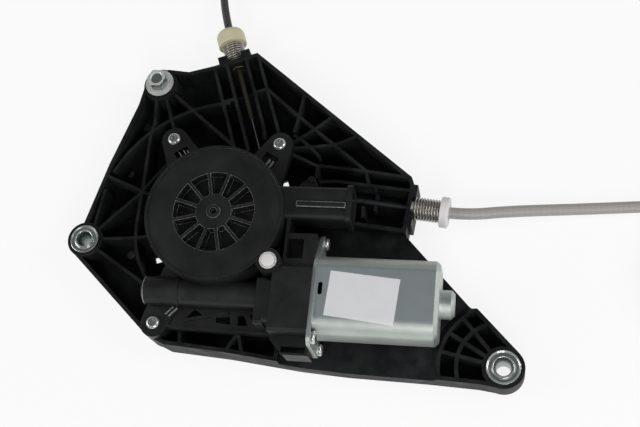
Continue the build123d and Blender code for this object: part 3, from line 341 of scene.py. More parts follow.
# Zinc plate with a clear passivation: silver with a faint green cast
ZINC = Finish(
    "clear_zinc_plate", "zinc_steel", "cfd2cf", "98a39d", metallic=1.0, roughness=0.26,
    grain_mm=1.1, bump_mm=0.02, patch_mm=2.6, patch_share=0.7,
)
# Darker zinc: the top left bush is made of it, and it is painted shade on the bolt's recess and upright sides and in
# the bushes' dishes and bores
ZINC_DARK_AND_PAINTED_SHADE = Finish(
    "dark_zinc_and_painted_shade", "zinc_steel", "a7aeac", "717b7a", metallic=1.0, roughness=0.34,
    grain_mm=1.1, bump_mm=0.02, patch_mm=2.2, patch_share=0.7,
)
# Zinc of the bolt's upward faces: near white and part metallic, a painted highlight
ZINC_PAINTED_HIGHLIGHT = Finish(
    "painted_highlight_zinc_plate", "zinc_steel", "fbfcfa", "c9cfcb", metallic=0.6, roughness=0.3,
    grain_mm=1.6, bump_mm=0.12, patch_mm=2.0, patch_share=0.7,
)
# Edges of the zinc pieces, whitened as a painted highlight
ZINC_EDGE_HIGHLIGHT = Finish(
    "painted_highlight_zinc_edges", "zinc_steel", "f4f6f4", "d3d8d5", metallic=0.7, roughness=0.2, bump_mm=0.01, patch_mm=2.0,
)
# Drawn sheet steel, zinc plated: grey-green, with faint draw lines along the can
CAN_STEEL = Finish(
    "zinc_plated_can", "can_steel", "c6ccc8", "a3aaa6", metallic=1.0, roughness=0.56, roughness_spread=0.04,
    gloss=Gloss.GRAIN, grain_mm=0.8, bump_mm=0.002, stretch=(0.15, 1.0, 1.0), patch_mm=12.0,
)
# Its flat top is given a bluer grey
CAN_PANEL = Finish(
    "bluer_can_top", "can_steel", "bcc4c5", "9ba5a6", metallic=1.0, roughness=0.52, roughness_spread=0.08,
    bump_mm=0.004, patch_mm=9.0, patch_share=0.7,
)
# The can's bent and cut edges are polished by the tool, and painted a lighter grey as a highlight
CAN_EDGE_POLISH_AND_HIGHLIGHT = Finish(
    "polished_and_highlit_can_edges", "can_steel", "d6dad7", "b7bdb9", metallic=1.0, roughness=0.36, bump_mm=0.003, patch_mm=6.0,
)
SPRING_STEEL = Finish(
    "drawn_spring_wire", "spring_steel", "aaa89f", "86847c", metallic=1.0, roughness=0.36,
    grain_mm=0.8, bump_mm=0.002,
)
# The ferrules' natural plastic where it lies inside the plate, coloured near black
DARK_STEM_INSIDE_PLATE = Finish(
    "near_black_stem_inside_plate", "cream_plastic", "2a2820", "191813", roughness=0.4, bump_mm=0.01, patch_mm=3.0,
)
# The liner in the open channel is natural plastic, coloured a dark olive
OLIVE_LINER = Finish("dark_olive_liner", "cream_plastic", "4b4a3d", "37372a", roughness=0.3, grain_mm=0.8, patch_mm=3.0)
CORE_STEEL = Finish(
    "stamped_sheets", "core_steel", "77787a", "5c5d60", metallic=1.0, roughness=0.45,
    gloss=Gloss.GRAIN, grain_mm=0.5, bump_mm=0.03, stretch=(1.0, 0.05, 0.05),
)
BRONZE = Finish("sintered_bronze", "bronze", "a9783f", "8c6233", metallic=1.0, roughness=0.5, grain_mm=0.3)
COPPER = Finish("enamelled_copper", "copper", "b5683a", "8d4c26", metallic=1.0, roughness=0.3, grain_mm=0.5)
FERRITE = Finish("sintered_ferrite", "magnet", "34353a", "2a2b2f", roughness=0.6, grain_mm=0.4)
CARBON = Finish("pressed_carbon", "carbon", "1c1c1c", "262626", roughness=0.55, grain_mm=0.3)
ACETAL = Finish("natural_acetal", "wheel_plastic", "e6e2d2", "d9d4c2", roughness=0.35, bump_mm=0.004)
WHITE_PLASTIC = Finish("white_moulding", "white_plastic", "e8e6e4", "d8d6d3", roughness=0.45, bump_mm=0.006)
CREAM_PLASTIC = Finish("cream_moulding", "cream_plastic", "d8d2b0", "c6be9a", roughness=0.45, bump_mm=0.006)
RUBBER = Finish("black_rubber", "black_rubber", "1b1b1b", "252525", roughness=0.75, grain_mm=0.3, bump_mm=0.02)
BLACK_LINER = Finish("black_liner", "black_liner", "202124", "303135", roughness=0.38, bump_mm=0.003)
CABLE_STEEL = Finish(
    "stranded_cable", "cable_steel", "c3c4c5", "77787b", metallic=1.0, roughness=0.34,
    gloss=Gloss.GRAIN, grain_mm=0.5, bump_mm=0.05, patch_mm=1.2, patch_share=0.8,
)
# Paper label with a matte film: plain white
LABEL_WHITE = Finish("label_film", "white_plastic", "e2e3e5", "d6d8da", roughness=0.4, bump_mm=0.002, patch_mm=9.0)
BLACK_BRAID = JacketFinish(
    "black_braid", "black_conduit", "4c4c50", "070708", roughness=0.45, pitch_mm=1.9, bump_mm=0.3, braided=True,
)
BLACK_FITTING = Finish("black_fitting", "black_conduit", "1f2022", "2c2d30", roughness=0.45)
GREY_JACKET = JacketFinish(
    "grey_jacket", "grey_conduit", "a6a29f", "a3a09c", roughness=0.42, pitch_mm=3.0, bump_mm=0.006, braided=False,
)
GREY_FITTING = Finish("grey_fitting", "grey_conduit", "a7a3a0", "96928f", roughness=0.45)
# Pieces whose edges have their own lighter finish: a painted highlight, on the carrier partly wear as well
CARRIER = (CARRIER_BLACK, CARRIER_EDGE_WEAR_AND_HIGHLIGHT)
GEARBOX = (GEARBOX_BLACK, GEARBOX_EDGE_HIGHLIGHT)
SCREW = (ZINC, ZINC_EDGE_HIGHLIGHT)

_built: dict[str, bpy.types.Material] = {}


def dress(piece: Piece, *finishes: Finish | JacketFinish) -> None:
    """Give a piece its finishes.

    Args:
        piece: The piece.
        finishes: The finish of the whole piece, then those of its material slots after the first.
    """
    piece.data.materials.clear()
    for finish in finishes:
        if finish.name not in _built:
            _built[finish.name] = finish.build()
        piece.data.materials.append(_built[finish.name])


def body_of_node(name: str) -> str:
    """Find the body that holds a CAD node.

    Args:
        name: The CAD node.

    Returns:
        Name of the body.
    """
    bodies = frame["record"]["behaviour"]["bodies"]
    return next(body for body, nodes in bodies.items() if name in nodes)


def deselect() -> None:
    """Deselect everything, in object mode."""
    if bpy.context.object and bpy.context.object.mode != "OBJECT":
        bpy.ops.object.mode_set(mode="OBJECT")
    bpy.ops.object.select_all(action="DESELECT")


def add_object(name: str, data: bpy.types.ID) -> Piece:
    """Add an object to the scene.

    Args:
        name: Name of the object.
        data: Its mesh, curve, light or camera.

    Returns:
        The new object.
    """
    made = bpy.data.objects.new(name, data)
    bpy.context.scene.collection.objects.link(made)
    return made


def open_mesh() -> None:
    """Edit the active piece, with everything selected."""
    bpy.ops.object.mode_set(mode="EDIT")
    bpy.ops.mesh.select_all(action="SELECT")


def close_mesh() -> None:
    """Turn all faces outward and go back to object mode."""
    bpy.ops.mesh.select_all(action="SELECT")
    bpy.ops.mesh.normals_make_consistent(inside=False)
    bpy.ops.object.mode_set(mode="OBJECT")


def activate(piece: Piece) -> None:
    """Select one piece and make it active.

    Args:
        piece: The piece.
    """
    deselect()
    piece.select_set(True)
    bpy.context.view_layer.objects.active = piece


def apply_modifiers(piece: Piece) -> None:
    """Apply all the modifiers of a piece.

    Args:
        piece: The piece.
    """
    activate(piece)
    for modifier in list(piece.modifiers):
        bpy.ops.object.modifier_apply(modifier=modifier.name)


def cut_out(piece: Piece, cutter: Piece) -> None:
    """Cut a piece with another, and delete the cutter.

    Args:
        piece: The piece that is cut.
        cutter: The piece to take away from it.
    """
    hole = piece.modifiers.new("hole", "BOOLEAN")
    hole.operation = "DIFFERENCE"
    hole.solver = "EXACT"
    hole.object = cutter
    apply_modifiers(piece)
    bpy.data.objects.remove(cutter)


def round_edges(piece: Piece, width_mm: float, sharp: float, smooth: float) -> None:
    """Round the sharp edges of a piece, and give them its second finish if it has one.

    Args:
        piece: The piece, dressed.
        width_mm: Width of the rounding.
        sharp: Edges that turn more than this are rounded, in degrees.
        smooth: Edges that turn less than this are shaded smooth, in degrees.
    """
    bevel = piece.modifiers.new("rounded_edges", "BEVEL")
    bevel.width = width_mm * MM
    bevel.segments = 2
    bevel.limit_method = "ANGLE"
    bevel.angle_limit = radians(sharp)
    bevel.material = 1 if len(piece.data.materials) > 1 else -1
    apply_modifiers(piece)
    bpy.ops.object.shade_smooth_by_angle(angle=radians(smooth))


def softened(name: str, finishes: tuple[Finish, ...], width_mm: float, *cutters: Piece) -> Piece:
    """Copy a CAD node and round its sharp edges, so that they catch the light.

    Args:
        name: The CAD node.
        finishes: Finish of the copy, then of its rounded edges if that differs, and any others.
        width_mm: Width of the rounding.
        cutters: Pieces to take away from the copy first.

    Returns:
        The new piece, which stands for the node.
    """
    source = frame["nodes"][name]
    piece = add_object(f"{name}_moulding", source.data.copy())
    activate(piece)
    open_mesh()
    bpy.ops.mesh.remove_doubles(threshold=0.002 * MM)
    bpy.ops.mesh.dissolve_limited(angle_limit=radians(1.0))
    bpy.ops.object.mode_set(mode="OBJECT")
    for cutter in cutters:
        cut_out(piece, cutter)
    dress(piece, *finishes)
    round_edges(piece, width_mm, 35.0, 32.0)
    flatten = piece.modifiers.new("flat_faces", "WEIGHTED_NORMAL")
    flatten.keep_sharp = True
    flatten.weight = 80
    apply_modifiers(piece)
    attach(piece, body_of_node(name))
    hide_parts(name)
    return piece


def settle(piece: Piece, origin: Vector, direction: Vector) -> None:
    """Turn a piece that was made along Z, move it to its place and apply both to its mesh.

    Args:
        piece: The piece, made round the origin.
        origin: Where its origin goes, in metres.
        direction: Where its Z axis points.
    """
    turn = direction.normalized().to_track_quat("Z", "Y").to_matrix().to_4x4()
    piece.matrix_world = Matrix.Translation(origin) @ turn
    activate(piece)
    bpy.ops.object.transform_apply(location=True, rotation=True, scale=True)


def sink(piece: Piece, spots: list[Vector], direction: Vector, depth_mm: float) -> None:
    """Cut six-lobed recesses into the heads of screws.

    Args:
        piece: The screws.
        spots: Centres of the recesses on their heads, in metres.
        direction: Outward direction of the recesses.
        depth_mm: Depth of a recess.
    """
    for spot in spots:
        deselect()
        bpy.ops.mesh.primitive_cylinder_add(vertices=12, radius=LOBE_MM * MM, depth=2 * depth_mm * MM)
        cutter = bpy.context.object
        bpy.ops.object.mode_set(mode="EDIT")
        bpy.ops.mesh.select_all(action="DESELECT")
        bpy.ops.object.mode_set(mode="OBJECT")
        for index, vertex in enumerate(cutter.data.vertices):
            vertex.select = (index // 2) % 2 == 1
        bpy.ops.object.mode_set(mode="EDIT")
        bpy.ops.transform.resize(value=(LOBE_SHARE, LOBE_SHARE, 1.0), center_override=ORIGIN)
        bpy.ops.object.mode_set(mode="OBJECT")
        settle(cutter, spot, direction)
        cut_out(piece, cutter)


def turned(name: str, profile: list[Flat], x: float, y: float) -> Piece:
    """Turn a profile round an upright axis.

    Args:
        name: Name of the piece.
        profile: Corners of the section as radius and height, in millimetres. For a solid piece it starts
            and ends on the axis. For a ring its last corner is joined to its first.
        x: Place of the axis, in millimetres.
        y: Place of the axis, in millimetres.

    Returns:
        The new piece, at its place.
    """
    deselect()
    bpy.ops.mesh.primitive_plane_add(size=MM, location=ORIGIN)
    piece = bpy.context.object
    piece.name = name
    open_mesh()
    bpy.ops.mesh.merge(type="CENTER")
    last = (0.0, 0.0)
    solid = profile[0][0] == 0.0
    for index, (radius, height) in enumerate(profile if solid else profile + profile[:1]):
        step = ((radius - last[0]) * MM, 0.0, (height - last[1]) * MM)
        if index:
            bpy.ops.mesh.extrude_region_move(TRANSFORM_OT_translate={"value": step})
        else:
            bpy.ops.transform.translate(value=step)
        last = (radius, height)
    bpy.ops.mesh.select_all(action="SELECT")
    bpy.ops.mesh.spin(steps=64, angle=2 * pi, center=(0.0, 0.0, 0.0), axis=(0.0, 0.0, 1.0))
    bpy.ops.mesh.select_all(action="SELECT")
    bpy.ops.mesh.remove_doubles(threshold=0.005 * MM)
    close_mesh()
    settle(piece, Vector((x * MM, y * MM, 0.0)), UP)
    return piece


def block(name: str, start: Flat, end: Flat, width: float, low: float, high: float) -> Piece:
    """Model a straight block between two points.

    Args:
        name: Name of the piece.
        start: One end in plan, in millimetres.
        end: The other end in plan.
        width: Its width.
        low: Height of its foot.
        high: Height of its top.

    Returns:
        The new piece, at its place.
    """
    run = Vector((end[0] - start[0], end[1] - start[1], 0.0)) * MM
    deselect()
    bpy.ops.mesh.primitive_plane_add(size=1.0, location=ORIGIN)
    piece = bpy.context.object
    piece.name = name
    open_mesh()
    bpy.ops.transform.resize(value=(run.length, width * MM, 1.0), center_override=ORIGIN)
    turn = -run.to_2d().angle_signed(Vector((1.0, 0.0)))
    bpy.ops.transform.rotate(value=turn, orient_axis="Z", center_override=ORIGIN)
    bpy.ops.mesh.extrude_region_move(TRANSFORM_OT_translate={"value": (0.0, 0.0, (high - low) * MM)})
    close_mesh()
    middle = Vector((start[0] * MM, start[1] * MM, low * MM)) + run / 2
    settle(piece, middle, UP)
    return piece


def finished(piece: Piece, body: str, width_mm: float, *finishes: Finish) -> None:
    """Dress a hand-made piece, round its edges and let it ride on its body.

    Args:
        piece: The piece.
        body: The body that it moves with.
        width_mm: Width of the rounding.
        finishes: Finish of the piece, then of its rounded edges if that differs, and any others.
    """
    dress(piece, *finishes)
    round_edges(piece, width_mm, 30.0, 40.0)
    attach(piece, body)


def smooth_line(points: list[Point]) -> list[Vector]:
    """Points along a NURBS spline through a route.

    Args:
        points: Control points, in metres.

    Returns:
        Points of the smooth line.
    """
    curve = bpy.data.curves.new("route", "CURVE")
    curve.dimensions = "3D"
    spline = curve.splines.new("NURBS")
    spline.points.add(len(points) - 1)
    for target, point in zip(spline.points, points):
        target.co = (*point, 1.0)
    spline.order_u = 3
    spline.use_endpoint_u = True
    spline.resolution_u = 8
    holder = add_object("route", curve)
    bpy.context.view_layer.update()
    mesh = bpy.data.meshes.new_from_object(holder.evaluated_get(bpy.context.evaluated_depsgraph_get()))
    line = [vertex.co.copy() for vertex in mesh.vertices]
    bpy.data.meshes.remove(mesh)
    bpy.data.objects.remove(holder)
    bpy.data.curves.remove(curve)
    return line


def tube_mesh(name: str, line: list[Vector], radius: float, sides: int) -> Piece:
    """Closed round tube along a line, with a UV map: X round it from 0 to 1, Y along it in millimetres.

    Args:
        name: Name of the piece.
        line: Points of its centre line, in metres.
        radius: Radius in metres.
        sides: Corners of its section.

    Returns:
        The new piece.
    """
    shape = bmesh.new()
    uv = shape.loops.layers.uv.new("along")
    rings: list[list[bmesh.types.BMVert]] = []
    run = [0.0]
    for before, after in zip(line, line[1:]):
        run.append(run[-1] + (after - before).length / MM)
    across = UP
    for index, point in enumerate(line):
        ahead = (line[min(index + 1, len(line) - 1)] - line[max(index - 1, 0)]).normalized()
        across = (across - ahead * across.dot(ahead)).normalized()
        side = ahead.cross(across)
        ring = []
        for corner in range(sides):
            angle = 2 * pi * corner / sides
            ring.append(shape.verts.new(point + radius * (across * cos(angle) + side * sin(angle))))
        rings.append(ring)
    for index, (low, high) in enumerate(zip(rings, rings[1:])):
        for corner in range(sides):
            following = (corner + 1) % sides
            face = shape.faces.new((low[corner], low[following], high[following], high[corner]))
            face.smooth = True
            spots = (
                (corner / sides, run[index]),
                ((corner + 1) / sides, run[index]),
                ((corner + 1) / sides, run[index + 1]),
                (corner / sides, run[index + 1]),
            )
            for loop, spot in zip(face.loops, spots):
                loop[uv].uv = spot
    shape.faces.new(list(reversed(rings[0])))
    shape.faces.new(rings[-1])
    bmesh.ops.recalc_face_normals(shape, faces=shape.faces[:])
    mesh = bpy.data.meshes.new(name)
    shape.to_mesh(mesh)
    shape.free()
    return add_object(name, mesh)


@dataclass
class Studio:
    """Floor, light and camera of the picture.

    Attributes:
        camera_mm: Place of the camera.
        aim_mm: Point that it looks at.
        lean: Direction on the floor that is up in the picture.
        focal_px: Focal length in pixels of the picture's width.
        width_px: Width of the picture.
        floor: Colour of the floor, sRGB hex.
        whiteness: How much of the floor shows pure white, the rest shows its shadows.
        horizon: Strength of the surroundings low down.
        zenith: Strength of the surroundings overhead.
        softbox_size: Side of each soft box, in metres.
        softboxes: Name, place in metres and watts of each soft box.
        sensor_mm: Width of the camera's sensor.
    """

    camera_mm: Point = (162.86, -195.43, 584.78)
    aim_mm: Point = (49.7, 17.4, 0.0)
    lean: Point = (-0.0958, 0.9954, 0.0)
    focal_px: float = 1100.0
    width_px: float = 640.0
    floor: str = "f4f4f4"
    whiteness: float = 0.86
    horizon: float = 0.4
    zenith: float = 0.22
    softbox_size: float = 0.5
    softboxes: tuple[tuple[str, Point, float], ...] = (
        ("front_softbox", (0.35, -0.85, 0.85), 5.5),
        ("left_softbox", (-1.0, -0.2, 0.75), 5.0),
        ("right_softbox", (1.1, 0.1, 0.75), 5.0),
    )
    sensor_mm: float = 36.0

    def build(self) -> None:
        """Build the whole studio."""
        self.build_camera()
        self.build_floor()
        self.build_lights()

    def build_camera(self) -> None:
        """Place the camera."""
        data = bpy.data.cameras.new("camera")
        data.sensor_width = self.sensor_mm
        data.lens = data.sensor_width * self.focal_px / self.width_px
        data.clip_start = 0.01
        camera = add_object("camera", data)
        place = Vector(self.camera_mm) * MM
        back = (place - Vector(self.aim_mm) * MM).normalized()
        right = Vector(self.lean).cross(back).normalized()
        up = back.cross(right)
        turn = Matrix((right, up, back)).transposed().to_4x4()
        camera.matrix_world = Matrix.Translation(place) @ turn
        bpy.context.scene.camera = camera

    def build_floor(self) -> None:
        """Lay the floor, which shows white to the camera and in reflections, and keeps the shadow."""
        bpy.ops.mesh.primitive_plane_add(size=8.0, location=(0.05, 0.02, -0.0004))
        floor = bpy.context.object
        floor.name = "studio_floor"
        material = empty_material("pale_floor")
        path = node(material, "ShaderNodeLightPath")
        seen = node(
            material, "ShaderNodeMath", settings={"operation": "MAXIMUM"},
            links={0: path.outputs["Is Camera Ray"], 1: path.outputs["Is Glossy Ray"]},
        )
        share = node(
            material, "ShaderNodeMath", settings={"operation": "MAXIMUM"},
            links={0: seen.outputs[0], 1: path.outputs["Is Transmission Ray"]},
        )
        white = node(
            material, "ShaderNodeMapRange", inputs={"To Min": 0.0, "To Max": self.whiteness},
            links={"Value": share.outputs[0]},
        )
        matte = node(material, "ShaderNodeBsdfPrincipled", inputs={"Base Color": linear(self.floor), "Roughness": 0.9})
        glow = node(material, "ShaderNodeEmission", inputs={"Strength": 1.0})
        mix = node(
            material, "ShaderNodeMixShader",
            links={0: white.outputs["Result"], 1: matte.outputs["BSDF"], 2: glow.outputs["Emission"]},
        )
        node(material, "ShaderNodeOutputMaterial", links={"Surface": mix.outputs["Shader"]})
        floor.data.materials.append(material)

    def build_lights(self) -> None:
        """Hang three soft boxes, low enough to keep their reflection off the flat tops."""
        world = bpy.data.worlds.new("surroundings")
        bpy.context.scene.world = world
        world.use_nodes = True
        world.node_tree.nodes.clear()
        place = node(world, "ShaderNodeTexCoord")
        split = node(world, "ShaderNodeSeparateXYZ", links={"Vector": place.outputs["Generated"]})
        sky = node(
            world, "ShaderNodeMapRange", settings={"interpolation_type": "SMOOTHSTEP"},
            inputs={"From Min": 0.15, "From Max": 0.85, "To Min": self.horizon, "To Max": self.zenith},
            links={"Value": split.outputs["Z"]},
        )
        path = node(world, "ShaderNodeLightPath")
        seen = node(
            world, "ShaderNodeMath", settings={"operation": "MAXIMUM"},
            links={0: path.outputs["Is Camera Ray"], 1: path.outputs["Is Transmission Ray"]},
        )
        strength = node(
            world, "ShaderNodeMapRange", inputs={"To Max": 1.0},
            links={"Value": seen.outputs[0], "To Min": sky.outputs["Result"]},
        )
        light = node(world, "ShaderNodeBackground", links={"Strength": strength.outputs["Result"]})
        node(world, "ShaderNodeOutputWorld", links={"Surface": light.outputs["Background"]})
        for name, place, watts in self.softboxes:
            data = bpy.data.lights.new(name, "AREA")
            data.size = self.softbox_size
            data.energy = watts
            light = add_object(name, data)
            light.location = place
            aim = Vector(place) - Vector(self.aim_mm) * MM
            light.rotation_euler = aim.to_track_quat("Z", "Y").to_euler()


@dataclass
class CarrierPlate:
    """Ribbed carrier plate with its bushes, the bolt and the bare cables in its channels.

    Attributes:
        edge_mm: Width of the rounding of its ribs.
        bolt_mm: Centre of the bolt in plan.
        left_mm: Centre of the left bush.
        foot_mm: Centre of the foot's bush.
        marks_mm: Centres of the ejector pin marks.
        dish_mm: Inner and outer radius of the dish in a bush, darkened as painted shade.
        bore_mm: Outer radius of the bore of a bush, darkened as painted shade.
        recess_mm: Depth of the recess in the bolt's head.
    """

    edge_mm: float = 0.3
    bolt_mm: Flat = (-50.9, 88.7)
    left_mm: Flat = (-81.5, -10.2)
    foot_mm: Flat = (157.2, -69.5)
    marks_mm: tuple[Flat, ...] = ((-61.0, 67.7), (-67.2, 37.2), (-73.2, 11.5), (-58.5, -13.5))
    dish_mm: Flat = (5.9, 7.9)
    bore_mm: float = 4.5
    recess_mm: float = 1.1

    def build_bolt(self) -> None:
        """Sink the bolt's head, paint shade on its recess floor and upright sides, and a highlight on the rest."""
        x, y = self.bolt_mm
        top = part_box("mounting_bolt")[1][2] / MM
        floor = top - self.recess_mm
        recess = turned("head_recess", [(0.0, floor), (3.3, floor), (3.9, top + 0.2), (0.0, top + 0.2)], x, y)
        bolt = softened("mounting_bolt", (ZINC_PAINTED_HIGHLIGHT, ZINC_DARK_AND_PAINTED_SHADE), 0.3, recess)
        # The recess floor and the upright sides take the darker zinc as painted shade; the upward faces keep the
        # whitened zinc as a painted highlight
        for face in bolt.data.polygons:
            sunk = abs(face.center.z / MM - floor) < 0.2
            face.material_index = int(sunk or abs(face.normal.z) < 0.4)

    def build_marks(self) -> None:
        """Add the round marks that the mould's ejector pins left on the pocket floors, their lighter grey a painted
        sheen.
        """
        section = [(0.0, 1.2), (2.6, 1.2), (2.4, 2.75), (0.0, 2.8)]
        for index, centre in enumerate(self.marks_mm):
            finished(turned(f"ejector_mark_{index + 1}", section, *centre), "carrier", 0.12, CARRIER_STRAP_GREY_AND_SHEEN)

    def build_bushes(self) -> None:
        """Turn the left bush with its rolled collar, and the foot's with its flared mouth."""
        low, high = (corner[2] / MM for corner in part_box("bush_left"))
        rim = high - 0.6
        left = [
            (3.3, low), (6.0, low), (6.0, rim - 1.2), (8.2, rim - 1.2), (8.2, rim), (7.7, rim), (7.3, rim - 0.5),
            (5.7, rim - 0.6), (5.3, high), (4.6, high), (4.2, rim - 0.2), (3.3, rim - 2.4),
        ]
        low, high = (corner[2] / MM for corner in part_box("bush_right"))
        foot = [
            (4.0, low), (6.0, low), (6.0, high - 1.2), (9.0, high - 1.2), (9.0, high), (8.5, high), (8.1, high - 0.5),
            (6.3, high - 0.6), (5.9, high), (5.3, high), (4.7, high - 1.6), (4.0, high - 3.2),
        ]
        for name, profile, centre in (("left", left, self.left_mm), ("right", foot, self.foot_mm)):
            bush = turned(f"flanged_bush_{name}", profile, *centre)
            # The bushes' edges are whitened as a painted highlight, and their dishes and bores take the darker zinc as
            # painted shade
            finished(bush, "carrier", 0.16, ZINC, ZINC_EDGE_HIGHLIGHT, ZINC_DARK_AND_PAINTED_SHADE)
            middle = Vector(centre) * MM
            for face in bush.data.polygons:
                reach = (face.center.to_2d() - middle).length / MM
                if reach < self.bore_mm or self.dish_mm[0] < reach < self.dish_mm[1]:
                    face.material_index = 2
            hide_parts(f"bush_{name}")

    def build(self) -> None:
        """Build and dress the plate's pieces."""
        softened("carrier_plate", CARRIER, self.edge_mm)
        # Darker zinc throughout, its edges whitened as a painted highlight
        softened("bush_top_left", (ZINC_DARK_AND_PAINTED_SHADE, ZINC_EDGE_HIGHLIGHT), 0.2)
        self.build_bushes()
        self.build_bolt()
        self.build_marks()
        for name in ("wire_top", "wire_right"):
            dress(frame["nodes"][name], CABLE_STEEL)
        log.info("carrier plate, bushes and bolt")


@dataclass
class GearUnit:
    """Worm gear unit with its housing, cover and inner train.

    Attributes:
        inner: Pieces that stay as CAD makes them, and the finish of each.
        ears_mm: Centres of the three ears' screws in plan.
        vent_mm: Centre and foot of the vent plug.
        hollow_start_mm: Distance of an ear's hollow from the drum's axis.
        hollow_end_mm: Distance of its other end from the screw.
        hollow_width_mm: Its width.
        hollow_z_mm: Height of its floor and of the top of its cutter.
        ribs_mm: Two ends in plan and the top of each thin rib.
        rib_mm: Width and height of a thin rib.
        ridge_mm: Two ends of the ridge on the shroud.
        ridge_section_mm: Width, foot and top of that ridge.
    """

    inner: tuple[tuple[str, Finish], ...] = (
        ("cover_seal", RUBBER), ("axle_pin", SPRING_STEEL), ("worm_wheel", ACETAL), ("damper", RUBBER),
        ("output_dog", SPRING_STEEL), ("cable_drum", ACETAL), ("drum_cable", CABLE_STEEL), ("end_bearing", BRONZE),
        ("front_bearing", BRONZE), ("connector_terminals", COPPER),
    )
    ears_mm: tuple[Flat, ...] = ((-35.1, 50.7), (27.3, 49.2), (-31.5, -58.3))
    vent_mm: Point = (33.2, -26.4, 43.4)
    hollow_start_mm: float = 40.0
    hollow_end_mm: float = 7.2
    hollow_width_mm: float = 8.6
    hollow_z_mm: Flat = (20.6, 25.0)
    ribs_mm: tuple[tuple[Flat, Flat, float], ...] = (
        ((-31.6, 43.2), (-28.4, 38.9), 24.0),
        ((-29.1, 44.6), (-26.0, 39.8), 24.0),
        ((-26.8, 44.6), (-24.6, 40.6), 24.0),
        ((18.8, 34.3), (22.4, 40.4), 24.0),
        ((21.2, 33.2), (24.6, 39.2), 24.0),
        ((-25.4, -53.1), (-21.0, -48.3), 25.2),
        ((-23.5, -54.2), (-19.2, -49.3), 25.2),
    )
    rib_mm: Flat = (0.55, 3.3)
    ridge_mm: tuple[Flat, Flat] = ((44.4, 7.2), (71.2, 7.2))
    ridge_section_mm: Point = (3.3, 40.9, 42.8)

    def build_vent(self) -> None:
        """Turn the vent plug: a disc in a groove and a rim."""
        x, y, low = self.vent_mm
        section = [
            (0.0, low), (3.85, low), (3.85, low + 1.0), (4.6, low + 1.0), (4.6, low + 2.7), (4.15, low + 2.7),
            (4.15, low + 1.6), (3.65, low + 1.6), (3.65, low + 3.2), (0.0, low + 3.3),
        ]
        vent = turned("vent_cap", section, x, y)
        finished(vent, body_of_node("vent_plug"), 0.12, WHITE_PLASTIC)
        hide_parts("vent_plug")

    def build_pockets(self) -> list[Piece]:
        """Make cutters for the vent's groove and for the hollows of the two upper ears.

        Returns:
            The cutters.
        """
        x, y, seat = self.vent_mm
        groove = [(3.8, seat + 0.8), (4.8, seat + 0.8), (4.8, seat + 4.0), (3.8, seat + 4.0)]
        cutters = [turned("vent_groove", groove, x, y)]
        for index, ear in enumerate(self.ears_mm[:2]):
            outward = Vector(ear).normalized()
            start = tuple(outward * self.hollow_start_mm)
            end = tuple(outward * (Vector(ear).length - self.hollow_end_mm))
            cutters.append(block(f"ear_hollow_{index + 1}", start, end, self.hollow_width_mm, *self.hollow_z_mm))
        return cutters

    def build_ribs(self) -> None:
        """Add the thin ribs in the hollows of the ears and the ridge on the connector's shroud."""
        width, height = self.rib_mm
        # The thin ribs are made whole of the lighter edge finish, a painted highlight
        for index, (start, end, top) in enumerate(self.ribs_mm):
            finished(block(f"ear_rib_{index + 1}", start, end, width, top - height, top), "carrier", 0.12, GEARBOX_EDGE_HIGHLIGHT)
        finished(block("shroud_ridge", *self.ridge_mm, *self.ridge_section_mm), "carrier", 0.35, *GEARBOX)

    def build(self) -> None:
        """Build and dress the gear unit's pieces."""
        softened("gear_housing", GEARBOX, 0.4, *self.build_pockets())
        self.build_ribs()
        softened("gear_cover", GEARBOX, 0.35)
        softened("worm_end_plug", GEARBOX, 0.5)
        self.build_vent()
        screws = softened("housing_screws", SCREW, 0.3)
        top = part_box("housing_screws")[1][2]
        spots = [Vector((x * MM, y * MM, top)) for x, y in self.ears_mm]
        sink(screws, spots, UP, 2.0)
        for name, finish in self.inner:
            dress(frame["nodes"][name], finish)
        log.info("gear unit")


@dataclass
class Motor:
    """Electric motor with its can, label and rotor.

    Attributes:
        inner: Pieces that stay as CAD makes them, and the finish of each.
        screws_mm: Places of the can's screws, as Y and Z.
        level: A face of the can is its flat top where Z of its normal is over this.
    """

    inner: tuple[tuple[str, Finish], ...] = (
        ("armature_shaft", SPRING_STEEL), ("armature_core", CORE_STEEL), ("armature_windings", COPPER),
        ("commutator", COPPER), ("rear_bearing", BRONZE), ("magnets", FERRITE), ("brush_card", GEARBOX_BLACK),
        ("carbon_brushes", CARBON), ("motor_label", LABEL_WHITE),
    )
    screws_mm: tuple[Flat, ...] = ((-10.0, 26.0), (-65.2, 40.0), (-66.2, 16.0))
    level: float = 0.98

    def build(self) -> None:
        """Build and dress the motor's pieces."""
        # Edges a lighter grey as a painted highlight; the flat top, picked by its upward normal, a bluer grey
        can = softened("motor_can", (CAN_STEEL, CAN_EDGE_POLISH_AND_HIGHLIGHT, CAN_PANEL), 0.8)
        for face in can.data.polygons:
            if face.normal.z > self.level and face.material_index == 0:
                face.material_index = 2
        screws = softened("can_screws", SCREW, 0.3)
        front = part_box("can_screws")[1][0]
        spots = [Vector((front, y * MM, z * MM)) for y, z in self.screws_mm]
        sink(screws, spots, Vector((1.0, 0.0, 0.0)), 1.8)
        for name, finish in self.inner:
            dress(frame["nodes"][name], finish)
        log.info("motor")


